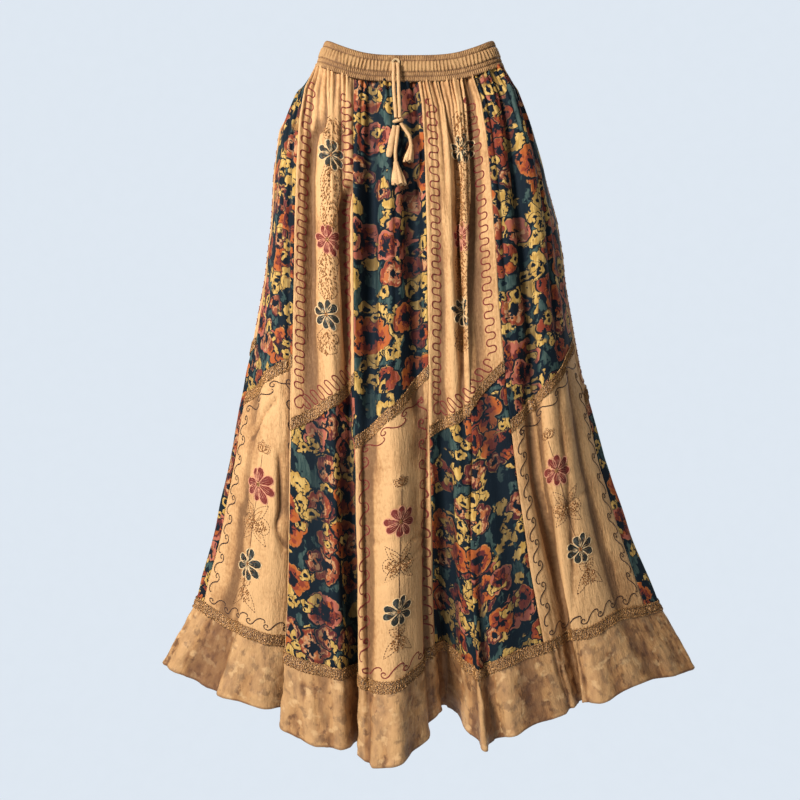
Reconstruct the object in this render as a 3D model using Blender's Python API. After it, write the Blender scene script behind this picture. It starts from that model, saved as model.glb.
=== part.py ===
"""Maxi skirt: a gathered elastic waist, ten gores that are each joined on a slant, lace over the joins,
a frill at the hem and a drawstring with bell tassels.

The skirt hangs filled out from its waist. -Y is its front, +Z is up, and the origin is the centre of
the waist. Sizes in the tables are millimetres.
"""

import math

import bpy
import numpy as np

MM = 0.001

# Cloth
CLOTH = 1.2
SEAM_GAP = 0.3
LACE = 1.0
LACE_LIFT = 0.5
GATHER_DEPTH = 1.7
GATHER_REACH = 60.0
FRILL_WAVE = 2.6

# Waistband: an elastic casing that slopes in towards its top
BAND_HALF_WIDTH = 125.5
BAND_TOP_HALF_WIDTH = 112.0
BAND_HALF_DEPTH = 50.0
BAND_TOP_HALF_DEPTH = 47.0
BAND_CORNER = 42.0
BAND_HEIGHT = 34.0
BAND_WALL = 3.0
BAND_GATHERS = 96
BAND_GATHER_DEPTH = 1.4
BAND_SIDE_Z = 0.0
BAND_FRONT_DIP = 31.0
BAND_BACK_DIP = 4.0
BAND_DIP_POWER = 3.5
CORNER_POINTS = 25
BAND_ROWS = (
    # share of the height, share of the gathers' depth: the low rows are lines of stitching
    (1.00, 0.80),
    (0.74, 0.35),
    (0.50, 1.00),
    (0.26, 0.35),
    (0.00, 0.80),
)

# The skirt's side profile by share of the drop: how much of the step from waist to hip is made,
# then how much of the step from hip to hem, on the left and on the right side
PROFILE = (
    # drop, to_hip_left, to_hip_right, to_hem_left, to_hem_right
    (0.0000, 0.00, 0.00, 0.000, 0.000),
    (0.0350, 0.54, 0.25, 0.000, 0.000),
    (0.0850, 0.81, 0.46, 0.000, 0.000),
    (0.1500, 0.91, 0.68, 0.000, 0.000),
    (0.2350, 0.97, 0.93, 0.000, 0.000),
    (0.3300, 1.00, 1.00, 0.050, 0.036),
    (0.4825, 1.00, 1.00, 0.210, 0.155),
    (0.6300, 1.00, 1.00, 0.374, 0.333),
    (0.7500, 1.00, 1.00, 0.505, 0.512),
    (0.8950, 1.00, 1.00, 0.716, 0.762),
    (1.0000, 1.00, 1.00, 1.000, 1.000),
)
HIP_AT = 0.256
FRILL_AT = 0.895

# Slanted join across every gore, as shares of the drop at its left and right seams
JOIN_LEFT = 0.53
JOIN_RIGHT = 0.435
JOIN_LACE = 0.0082
JOIN_FOLLOW = 0.0475
HEM_LACE = 0.0145
UPPER_LEVELS = (0.001, 0.017, 0.035, 0.085, 0.15, 0.235, 0.33)
LOWER_LEVELS = (0.63, 0.75)
FRILL_LEVELS = (FRILL_AT, 0.93, 0.965, 1.0)
POINT_STEP = 0.5
RING_STEP = 0.125

# Each gore, its colour above the join, and the distance of its left seam round the waist from centre front
GORES = (
    # name, upper cloth, waist_mm
    ("gore_01", "print", -196),
    ("gore_02", "tan", -137),
    ("gore_03", "print", -72),
    ("gore_04", "tan", 11),
    ("gore_05", "print", 82),
    ("gore_06", "tan", 156),
    ("gore_07", "print", 208),
    ("gore_08", "tan", 266),
    ("gore_09", "print", 325),
    ("gore_10", "tan", 383),
)

# The folds that run down the front, left to right. The first row of each gore is its left seam.
FRONT_FOLDS = (
    # gore, hip_x, hip_y, hem_x, hem_y, hem_z
    (0, -195, 13, -345, -4, -847),
    (0, -184, -20, -293, -12, -867),
    (0, -177, -36, -264, -44, -865),
    (0, -170, -44, -206, -54, -877),
    (0, -161, -48, -166, -36, -887),
    (1, -153, -52, -178, -64, -899),
    (1, -130, -46, -132, -86, -911),
    (1, -104, -64, -87, -88, -916),
    (1, -87, -50, -60, -46, -925),
    (2, -74, -62, -69, -90, -922),
    (2, -53, -49, -48, -118, -924),
    (2, -23, -66, -13, -124, -915),
    (2, 6, -50, 23, -82, -904),
    (3, 23, -63, 41, -38, -893),
    (3, 41, -60, 58, -4, -901),
    (3, 56, -62, 80, -50, -913),
    (3, 66, -48, 102, -92, -917),
    (3, 74, -64, 117, -62, -918),
    (3, 86, -52, 142, -84, -900),
    (4, 113, -62, 213, -57, -884),
    (4, 131, -60, 233, -44, -880),
    (4, 152, -48, 251, -28, -878),
    (4, 171, -53, 240, -60, -867),
    (4, 190, -38, 268, -66, -862),
    (4, 201, -16, 325, -44, -847),
    (5, 214, 16, 389, -10, -851),
    (5, 216, 30, 424, 14, -852),
)
LEFT_TURN = (-198, 28, -363, 12, -845)
RIGHT_TURN_STATION = len(FRONT_FOLDS) - 1

# The folds down the back are even waves; these are their gores and how deep each one is
BACK_GORES = (5, 5, 5, 6, 6, 6, 6, 6, 7, 7, 7, 7, 7, 8, 8, 8, 8, 8, 9, 9, 9, 9)
BACK_SHARES = (0.4, 0.9, 1.0, 1.2, 0.8, 1.0, 1.3, 0.9, 1.1, 1.2, 0.8)
BACK_HEM_RIGHT = 404
BACK_HEM_LEFT = -344
BACK_HIP_RIGHT = 198
BACK_HIP_LEFT = -190
BACK_Y = 50
BACK_FOLD = 28
BACK_HIP_FOLD = 5
BACK_SIDE_Z = -853
BACK_DROP = 31
# How far the back comes forward at the two side turns, at the hip and at the hem
BACK_HIP_TURN = 12
BACK_HEM_TURN = 8
BACK_TURN_POWER = 0.25

# Drawstring, hanging from an eyelet at the front of the waist
EYELET = (-18.2, -51.6, -7.8)
EYELET_RADIUS = 5.6
EYELET_HOLE = 2.4
EYELET_HEIGHT = 1.8
EYELET_SIDES = 16
CORD_DIAMETER = 4.2
CORD_SPACING = 2.5 * CORD_DIAMETER
CURVE_STEPS = 12
KNOT = (-15.3, -69.5, -87.0)
KNOT_RADII = (7.0, 4.4, 6.0)
KNOT_RINGS = (50, 28, 0, -28, -50)
KNOT_SIDES = 12
CORD_ROUTES = {
    "drawstring_upper_left": (
        (-20.8, -56.2, -9.6), (-21.2, -58.6, -26), (-20.2, -65.0, -52), (-17.9, -69.2, -82.1),
    ),
    "drawstring_upper_right": (
        (-15.6, -56.2, -9.6), (-15.0, -59.0, -26), (-14.2, -65.5, -52), (-12.9, -69.2, -82.1),
    ),
    "drawstring_lower_middle": (
        (-15.0, -69.5, -91.9), (-16.7, -69.8, -107), (-18.6, -69.8, -123), (-18.2, -69.8, -136.5),
    ),
    "drawstring_lower_right": (
        (-10.4, -69.6, -91.9), (-5.0, -70.4, -99.0), (-0.6, -70.8, -106), (1.6, -70.8, -115.1),
    ),
}
TASSELS = {
    # top centre, bottom centre, top radius, bottom radius
    "tassel_middle": ((-18.2, -69.8, -136.8), (-14.0, -70.6, -166.0), 2.6, 8.4),
    "tassel_right": ((1.6, -70.8, -116.0), (-2.4, -71.2, -137.0), 2.4, 5.8),
}
BOW_LOOP = ((-19.9, -69.4, -91.9), (-27.4, -69.6, -131.0), 2.0, 3.2)
TASSEL_RINGS = (0.0, 0.2, 0.5, 0.8, 1.0)
TASSEL_POWER = 1.2
TASSEL_HALF_DEPTH = 4.6
TASSEL_FLUTES = 6
TASSEL_FLUTE_SHARE = 0.16
LOOP_RINGS = (
    # share of the way down, share of the width
    (0.00, 1.0),
    (0.35, 1.0),
    (0.70, 1.0),
    (0.93, 1.0),
    (1.00, 0.6),
)
LOOP_FLATNESS = 0.55
LOOP_SIDES = 8

# Colours: linear RGB, roughness
FINISHES = {
    "tan": ((0.50, 0.30, 0.13), 0.80),
    "print": ((0.03, 0.05, 0.06), 0.85),
    "lace": ((0.58, 0.42, 0.20), 0.70),
    "frill": ((0.42, 0.25, 0.12), 0.82),
    "cord": ((0.58, 0.38, 0.18), 0.80),
    "eyelet": ((0.62, 0.52, 0.36), 0.60),
}


def clear_scene():
    for thing in list(bpy.data.objects):
        bpy.data.objects.remove(thing, do_unlink=True)


def finish(name):
    """The named material, made once."""
    made = bpy.data.materials.get(name)
    if made is None:
        made = bpy.data.materials.new(name)
        made.use_nodes = True
        shader = made.node_tree.nodes["Principled BSDF"]
        colour, roughness = FINISHES[name]
        shader.inputs["Base Color"].default_value = (*colour, 1.0)
        shader.inputs["Roughness"].default_value = roughness
    return made


def add_object(name, data, material):
    thing = bpy.data.objects.new(name, data)
    bpy.context.scene.collection.objects.link(thing)
    data.materials.append(finish(material))
    return thing


# Waist ring


def rounded_ring(turn, half_width, half_depth, corner):
    """Points of a rounded rectangle, turn going from 0 at centre front to 1 by the right side."""
    quarter = np.linspace(0, math.pi / 2, CORNER_POINTS)
    x, y = [0.0], [-half_depth]
    for side, start in ((1, -math.pi / 2), (1, 0.0), (-1, math.pi / 2), (-1, math.pi)):
        face = -1 if start in (-math.pi / 2, math.pi) else 1
        x += list(side * (half_width - corner) + corner * np.cos(start + quarter))
        y += list(face * (half_depth - corner) + corner * np.sin(start + quarter))
    x, y = np.array(x + [0.0]), np.array(y + [-half_depth])
    along = np.concatenate([[0], np.cumsum(np.hypot(np.diff(x), np.diff(y)))])
    at = (np.asarray(turn) % 1.0) * along[-1]
    return np.interp(at, along, x), np.interp(at, along, y)


def ring_length(half_width, half_depth, corner):
    return 4 * (half_width - corner) + 4 * (half_depth - corner) + 2 * math.pi * corner


def waist_height(x, y):
    """The lower edge of the band: low at centre front, where the skirt's weight pulls it down."""
    near_centre = 1 - np.minimum(1, np.abs(x) / BAND_HALF_WIDTH) ** BAND_DIP_POWER
    return BAND_SIDE_Z - np.where(y < 0, BAND_FRONT_DIP, BAND_BACK_DIP) * near_centre


# Folds: a station is one fold line, from the waist to the hem


def back_folds():
    rows = []
    last = len(BACK_GORES) - 1
    for i, gore in enumerate(BACK_GORES):
        f = i / last
        inward = i % 2 * BACK_SHARES[i // 2]
        turn = 1 - max(0.0, math.sin(math.pi * f)) ** BACK_TURN_POWER
        hip_y = BACK_Y - BACK_HIP_FOLD * inward - BACK_HIP_TURN * turn
        hem_y = BACK_Y - BACK_FOLD * inward - BACK_HEM_TURN * turn
        rows.append((
            gore,
            BACK_HIP_RIGHT + (BACK_HIP_LEFT - BACK_HIP_RIGHT) * f,
            hip_y,
            BACK_HEM_RIGHT + (BACK_HEM_LEFT - BACK_HEM_RIGHT) * f,
            hem_y,
            BACK_SIDE_Z - BACK_DROP * math.sin(math.pi * f),
        ))
    return rows


def stations():
    """Waist, hip and hem points of every fold line, and the station of each gore's left seam."""
    rows = list(FRONT_FOLDS) + back_folds() + [(len(GORES) - 1, *LEFT_TURN)]
    count = len(rows)
    gore = [row[0] for row in rows]
    seams = [gore.index(k) for k in range(len(GORES))] + [count]
    perimeter = ring_length(BAND_HALF_WIDTH, BAND_HALF_DEPTH, BAND_CORNER)
    starts = [g[2] for g in GORES] + [GORES[0][2] + perimeter]
    turns = np.interp(np.arange(count), seams, starts) / perimeter
    x, y = rounded_ring(turns, BAND_HALF_WIDTH, BAND_HALF_DEPTH, BAND_CORNER)
    waist = np.stack([x, y, waist_height(x, y)], axis=1)
    sizes = np.array([row[1:] for row in rows], float)
    hem = sizes[:, 2:5]
    hip = np.concatenate([sizes[:, :2], waist[:, 2:] + (hem[:, 2:] - waist[:, 2:]) * HIP_AT], axis=1)
    return waist, hip, hem, seams


WAIST, HIP, HEM, SEAMS = stations()
STATIONS = len(WAIST)
HEM_LEFT, HEM_RIGHT = HEM[:, 0].min(), HEM[:, 0].max()


def between(a, b, c, d, f):
    """A smooth curve from b to c, with a before them and d after them."""
    bend = 2 * a - 5 * b + 4 * c - d
    return 0.5 * (2 * b + (c - a) * f + bend * f**2 + (3 * b - a - 3 * c + d) * f**3)


def through(points, s):
    """A smooth closed curve through the stations, at station number s."""
    base = np.floor(s).astype(int)
    near = [points[(base + k) % len(points)] for k in (-1, 0, 1, 2)]
    return between(*near, (s - base)[..., None])


def growth(s, t):
    """How far out the cloth is: shares of the steps from waist to hip and from hip to hem."""
    drop, *columns = np.array(PROFILE).T
    hip_left, hip_right, hem_left, hem_right = (np.interp(t, drop, column) for column in columns)
    side = np.clip((through(HEM, s)[..., 0] - HEM_LEFT) / (HEM_RIGHT - HEM_LEFT), 0, 1)
    return hip_left + (hip_right - hip_left) * side, hem_left + (hem_right - hem_left) * side


def smooth_cloth(s, t):
    """The skirt's middle surface without gathers, t going from 0 at the waist to 1 at the hem."""
    waist, hip, hem = through(WAIST, s), through(HIP, s), through(HEM, s)
    to_hip, to_hem = growth(s, t)
    out = waist + (hip - waist) * to_hip[..., None] + (hem - hip) * to_hem[..., None]
    out[..., 2] = waist[..., 2] + (hem[..., 2] - waist[..., 2]) * t
    return out


def slopes(surface, s, t, ds=0.02, dt=0.002):
    """How the surface changes along s and along t."""
    low, high = np.maximum(t - dt, 0), np.minimum(t + dt, 1)
    return surface(s + ds, t) - surface(s - ds, t), surface(s, high) - surface(s, low)


def unit(v):
    return v / np.maximum(np.linalg.norm(v, axis=-1, keepdims=True), 1e-9)


def cloth(s, t):
    """The middle surface with the waist's gathers and the frill's waves."""
    s, t = np.broadcast_arrays(np.asarray(s, float), np.asarray(t, float))
    points = smooth_cloth(s, t)
    across, down = slopes(smooth_cloth, s, t)
    out = np.cross(down, across)
    out[..., 2] = 0
    drop = points[..., 2] - through(WAIST, s)[..., 2]
    gathers = GATHER_DEPTH * np.exp(drop / GATHER_REACH)
    frill = FRILL_WAVE * np.clip((t - FRILL_AT) / (1 - FRILL_AT), 0, 1)
    return points + unit(out) * ((gathers + frill) * np.cos(2 * math.pi * s))[..., None]


def outward(s, t):
    """The direction out of the cloth, halfway between the two pieces of wall that meet at a point."""
    s, t = np.broadcast_arrays(np.asarray(s, float), np.asarray(t, float))
    before, here, after = cloth(s - POINT_STEP, t), cloth(s, t), cloth(s + POINT_STEP, t)
    down = slopes(cloth, s, t)[1]
    return unit(np.cross(down, unit(after - here) + unit(here - before)))


# The share of the way across its gore, by distance round the skirt at mid height
RING_S = np.arange(0, STATIONS + RING_STEP / 2, RING_STEP)
RING_POINTS = smooth_cloth(RING_S, np.full(len(RING_S), 0.5))
RING_ALONG = np.concatenate([[0], np.cumsum(np.linalg.norm(np.diff(RING_POINTS, axis=0), axis=1))])


def join_height(gore, s):
    """The slanted join's share of the drop, at station s of a gore."""
    at = np.interp(s, RING_S, RING_ALONG)
    first, last = np.interp([SEAMS[gore], SEAMS[gore + 1]], RING_S, RING_ALONG)
    return JOIN_LEFT + (JOIN_RIGHT - JOIN_LEFT) * (at - first) / (last - first)


# Solids


def mesh_object(name, points, faces, material):
    mesh = bpy.data.meshes.new(name)
    mesh.from_pydata([tuple(p * MM) for p in points], [], faces)
    mesh.validate()
    mesh.update()
    return add_object(name, mesh, material)


def strip_faces(a, b, closed=False, turned=False):
    """Triangles between two rows of point numbers, facing the other way if turned."""
    faces = []
    count = len(a)
    for i in range(count if closed else count - 1):
        j = (i + 1) % count
        faces += [(a[i], b[i], b[j]), (a[i], b[j], a[j])]
    return [face[::-1] for face in faces] if turned else faces


def closed_sheet(name, outer, inner, material):
    """A wall between two grids of points, rows from top to bottom, closed all round its edges."""
    rows, columns = outer.shape[:2]
    number = np.arange(2 * rows * columns).reshape(2, rows, columns)
    faces = []
    for i in range(rows - 1):
        faces += strip_faces(number[0, i], number[0, i + 1])
        faces += strip_faces(number[1, i], number[1, i + 1], turned=True)
    faces += strip_faces(number[1, 0], number[0, 0])
    faces += strip_faces(number[1, -1], number[0, -1], turned=True)
    faces += strip_faces(number[0, :, 0], number[1, :, 0])
    faces += strip_faces(number[0, :, -1], number[1, :, -1], turned=True)
    points = np.concatenate([outer.reshape(-1, 3), inner.reshape(-1, 3)])
    return mesh_object(name, points, faces, material)


def pull_in(points):
    """Moves a grid's edges inwards by half the seam gap."""
    half = SEAM_GAP / 2
    moved = points.copy()
    moved[:, 0] += unit(points[:, 1] - points[:, 0]) * half
    moved[:, -1] += unit(points[:, -2] - points[:, -1]) * half
    moved[0] += unit(points[1] - points[0]) * half
    moved[-1] += unit(points[-2] - points[-1]) * half
    return moved


def panel(name, s, heights, material, thickness=CLOTH, lift=0.0):
    """A piece of cloth over the stations s; heights has a row of drop shares for each row of points."""
    grid_s = np.broadcast_to(s, heights.shape)
    middle = pull_in(cloth(grid_s, heights))
    out = outward(grid_s, heights)
    outer, inner = (middle + out * (lift + side * thickness / 2) for side in (1, -1))
    return closed_sheet(name, outer, inner, material)


def point_steps(first, last):
    """Station numbers for a piece's columns of points."""
    return np.arange(first, last + POINT_STEP / 2, POINT_STEP)


def add_gore(k):
    name, upper_cloth = GORES[k][:2]
    lower_cloth = "tan" if upper_cloth == "print" else "print"
    s = point_steps(SEAMS[k], SEAMS[k + 1])
    join = join_height(k, s)
    levels = [np.full(len(s), level) for level in UPPER_LEVELS]
    rows = [*levels, join - JOIN_FOLLOW, join - JOIN_LACE, join]
    panel(f"{name}_upper", s, np.array(rows), upper_cloth)
    levels = [np.full(len(s), level) for level in (*LOWER_LEVELS, FRILL_AT - HEM_LACE, FRILL_AT)]
    rows = [join, join + JOIN_LACE, join + JOIN_FOLLOW, *levels]
    panel(f"{name}_lower", s, np.array(rows), lower_cloth)
    lift = CLOTH / 2 + LACE_LIFT + LACE / 2
    panel(f"{name}_lace", s, np.array([join - JOIN_LACE, join + JOIN_LACE]), "lace", LACE, lift)


def add_frill(name, first, last):
    s = point_steps(first, last)
    panel(f"frill_{name}", s, np.array([np.full(len(s), level) for level in FRILL_LEVELS]), "frill")
    lift = CLOTH / 2 + LACE_LIFT + LACE / 2
    rows = np.array([np.full(len(s), level) for level in (FRILL_AT - HEM_LACE, FRILL_AT)])
    panel(f"hem_lace_{name}", s, rows, "lace", LACE, lift)


def band_points(h, push):
    """A row of the waistband at share h of its height, moved out by push."""
    turn = np.arange(2 * BAND_GATHERS) / (2 * BAND_GATHERS)
    low = rounded_ring(turn, BAND_HALF_WIDTH, BAND_HALF_DEPTH, BAND_CORNER)
    high = rounded_ring(turn, BAND_TOP_HALF_WIDTH, BAND_TOP_HALF_DEPTH, BAND_CORNER)
    x, y = (a + (b - a) * h for a, b in zip(low, high))
    z = waist_height(*low) + BAND_HEIGHT * h
    ring = np.stack([x, y, z], axis=1)
    along = np.roll(ring, -1, axis=0) - np.roll(ring, 1, axis=0)
    out = unit(np.stack([along[:, 1], -along[:, 0], np.zeros(len(x))], axis=1))
    return ring + out * np.asarray(push)[..., None]


def add_waistband():
    rise = np.where(np.arange(2 * BAND_GATHERS) % 2 == 0, 1.0, 0.0) * BAND_GATHER_DEPTH
    outer = np.array([band_points(h, BAND_WALL / 2 + rise * share) for h, share in BAND_ROWS])
    inner = np.array([band_points(h, -BAND_WALL / 2) for h in (1.0, 0.0)])
    count = outer.shape[1]
    number_out = np.arange(outer.shape[0] * count).reshape(-1, count)
    number_in = outer.shape[0] * count + np.arange(2 * count).reshape(-1, count)
    faces = []
    for a, b in zip(number_out[:-1], number_out[1:]):
        faces += strip_faces(a, b, closed=True)
    faces += strip_faces(number_in[1], number_in[0], closed=True)
    faces += strip_faces(number_in[0], number_out[0], closed=True)
    faces += strip_faces(number_out[-1], number_in[1], closed=True)
    points = np.concatenate([outer.reshape(-1, 3), inner.reshape(-1, 3)])
    return mesh_object("waistband", points, faces, "tan")


# Drawstring


def smooth_line(route, spacing):
    """Points of a smooth curve through a route's own points."""
    route = np.array(route, float)
    padded = np.concatenate([[2 * route[0] - route[1]], route, [2 * route[-1] - route[-2]]])
    fine = []
    for i in range(1, len(padded) - 2):
        for f in np.linspace(0, 1, CURVE_STEPS, endpoint=False):
            fine.append(between(*padded[i - 1 : i + 3], f))
    fine = np.array(fine + [route[-1]])
    along = np.concatenate([[0], np.cumsum(np.linalg.norm(np.diff(fine, axis=0), axis=1))])
    at = np.linspace(0, along[-1], max(4, round(along[-1] / spacing) + 1))
    return np.stack([np.interp(at, along, fine[:, k]) for k in range(3)], axis=1)


def add_cord(name, route):
    curve = bpy.data.curves.new(name, "CURVE")
    curve.dimensions = "3D"
    curve.bevel_depth = CORD_DIAMETER / 2 * MM
    curve.bevel_resolution = 2
    curve.use_fill_caps = True
    line = smooth_line(route, CORD_SPACING)
    spline = curve.splines.new("POLY")
    spline.points.add(len(line) - 1)
    for point, place in zip(spline.points, line):
        point.co = (*(place * MM), 1.0)
    return add_object(name, curve, "cord")


def turned_solid(name, rings, material):
    """A closed solid through rings of points, capped at both ends."""
    rings = [np.asarray(ring) for ring in rings]
    sides = len(rings[0])
    points = np.concatenate([*rings, [rings[0].mean(axis=0)], [rings[-1].mean(axis=0)]])
    faces = []
    number = np.arange(len(rings) * sides).reshape(-1, sides)
    for upper, lower in zip(number[:-1], number[1:]):
        faces += strip_faces(upper, lower, closed=True)
    top, bottom = len(rings) * sides, len(rings) * sides + 1
    last = (len(rings) - 1) * sides
    for i in range(sides):
        j = (i + 1) % sides
        faces += [(top, i, j), (bottom, last + j, last + i)]
    return mesh_object(name, points, faces, material)


def oval(centre, width, depth, sides, flute=0.0, flutes=0):
    angle = np.arange(sides) * 2 * math.pi / sides
    r = 1 + flute * np.cos(flutes * angle)
    return np.stack([
        centre[0] + width * r * np.cos(angle),
        centre[1] + depth * r * np.sin(angle),
        np.full(sides, float(centre[2])),
    ], axis=1)


def add_tassel(name, top, bottom, top_radius, bottom_radius):
    top, bottom = np.array(top), np.array(bottom)
    rings = []
    for f in TASSEL_RINGS:
        radius = top_radius + (bottom_radius - top_radius) * math.sin(f * math.pi / 2) ** TASSEL_POWER
        depth = min(radius, TASSEL_HALF_DEPTH)
        centre = top + (bottom - top) * f
        flute = TASSEL_FLUTE_SHARE * f
        rings.append(oval(centre, radius, depth, 2 * TASSEL_FLUTES, flute, TASSEL_FLUTES))
    return turned_solid(name, rings, "cord")


def add_bow_loop():
    top, bottom, top_half, bottom_half = BOW_LOOP
    top, bottom = np.array(top), np.array(bottom)
    rings = []
    for f, share in LOOP_RINGS:
        half = (top_half + (bottom_half - top_half) * f) * share
        rings.append(oval(top + (bottom - top) * f, half, half * LOOP_FLATNESS, LOOP_SIDES))
    return turned_solid("drawstring_bow_loop", rings, "cord")


def add_knot():
    rings = []
    half_width, half_depth, half_height = KNOT_RADII
    for angle in np.radians(KNOT_RINGS):
        centre = (KNOT[0], KNOT[1], KNOT[2] + half_height * math.sin(angle))
        across = math.cos(angle)
        rings.append(oval(centre, half_width * across, half_depth * across, KNOT_SIDES))
    return turned_solid("drawstring_knot", rings, "cord")


def add_eyelet():
    """A stitched ring that stands flat on the front of the band, its hole facing the front."""
    angle = np.arange(EYELET_SIDES) * 2 * math.pi / EYELET_SIDES
    rows = []
    for radius, y in ((EYELET_HOLE, 0), (EYELET_HOLE, -1), (EYELET_RADIUS, -1), (EYELET_RADIUS, 0)):
        rows.append(np.stack([
            EYELET[0] + radius * np.cos(angle),
            np.full(EYELET_SIDES, EYELET[1] + y * EYELET_HEIGHT),
            EYELET[2] + radius * np.sin(angle),
        ], axis=1))
    number = np.arange(len(rows) * EYELET_SIDES).reshape(len(rows), EYELET_SIDES)
    faces = []
    for i in range(len(rows)):
        faces += strip_faces(number[i], number[(i + 1) % len(rows)], closed=True)
    return mesh_object("eyelet", np.concatenate(rows), faces, "eyelet")


def main():
    clear_scene()
    add_waistband()
    for k in range(len(GORES)):
        add_gore(k)
    add_frill("front", -1, RIGHT_TURN_STATION)
    add_frill("back", RIGHT_TURN_STATION, STATIONS - 1)
    add_eyelet()
    for name, route in CORD_ROUTES.items():
        add_cord(name, route)
    add_knot()
    add_bow_loop()
    for name, (top, bottom, top_radius, bottom_radius) in TASSELS.items():
        add_tassel(name, top, bottom, top_radius, bottom_radius)


main()
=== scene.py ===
import math

import bpy
import numpy as np
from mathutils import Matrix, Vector


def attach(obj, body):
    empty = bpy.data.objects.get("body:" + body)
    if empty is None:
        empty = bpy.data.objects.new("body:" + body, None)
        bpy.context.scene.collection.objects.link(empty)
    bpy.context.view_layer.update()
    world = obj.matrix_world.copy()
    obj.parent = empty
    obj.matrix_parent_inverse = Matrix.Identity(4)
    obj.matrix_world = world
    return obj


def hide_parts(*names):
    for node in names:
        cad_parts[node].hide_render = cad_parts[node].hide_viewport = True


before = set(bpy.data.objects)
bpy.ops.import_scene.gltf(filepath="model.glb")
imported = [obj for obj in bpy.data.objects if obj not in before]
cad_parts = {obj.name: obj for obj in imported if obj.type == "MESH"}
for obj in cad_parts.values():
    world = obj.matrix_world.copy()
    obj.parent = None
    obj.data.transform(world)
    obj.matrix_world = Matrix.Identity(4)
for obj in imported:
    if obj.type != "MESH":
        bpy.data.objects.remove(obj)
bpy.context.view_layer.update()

mm = 0.001
body = "root"
fullTurn = 2 * math.pi
clothLength = 900  # from waist to hem, in millimetres: what t = 1 stands for in flat sizes

# camera

view = {"place": (-0.01278, -1.0, -0.36251), "tiltDown": 5.0, "lens": 31.811, "sensor": 36.0}


def addCamera():
    cameraData = bpy.data.cameras.new("camera")
    cameraData.lens, cameraData.sensor_width = view["lens"], view["sensor"]
    camera = bpy.data.objects.new("camera", cameraData)
    camera.location = view["place"]
    camera.rotation_euler = (math.radians(90 - view["tiltDown"]), 0, 0)
    bpy.context.scene.collection.objects.link(camera)
    bpy.context.scene.camera = camera


addCamera()

# shader sums


def sumOf(operation, reflected=False):
    def made(self, value):
        return self.finish.sum(operation, *((value, self) if reflected else (self, value)))

    return made


class Wire:  # a shader socket that takes part in sums
    def __init__(self, finish, socket):
        self.finish, self.socket = finish, socket

    def other(self, name):  # another output of the same node
        return Wire(self.finish, self.socket.node.outputs[name])

    __add__ = __radd__ = sumOf("ADD")
    __mul__ = __rmul__ = sumOf("MULTIPLY")
    __sub__, __rsub__ = sumOf("SUBTRACT"), sumOf("SUBTRACT", True)
    __truediv__, __pow__ = sumOf("DIVIDE"), sumOf("POWER")


shaderSockets = {"specular": "Specular IOR Level", "metallic": "Metallic", "glow": "Emission Strength"}


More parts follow.
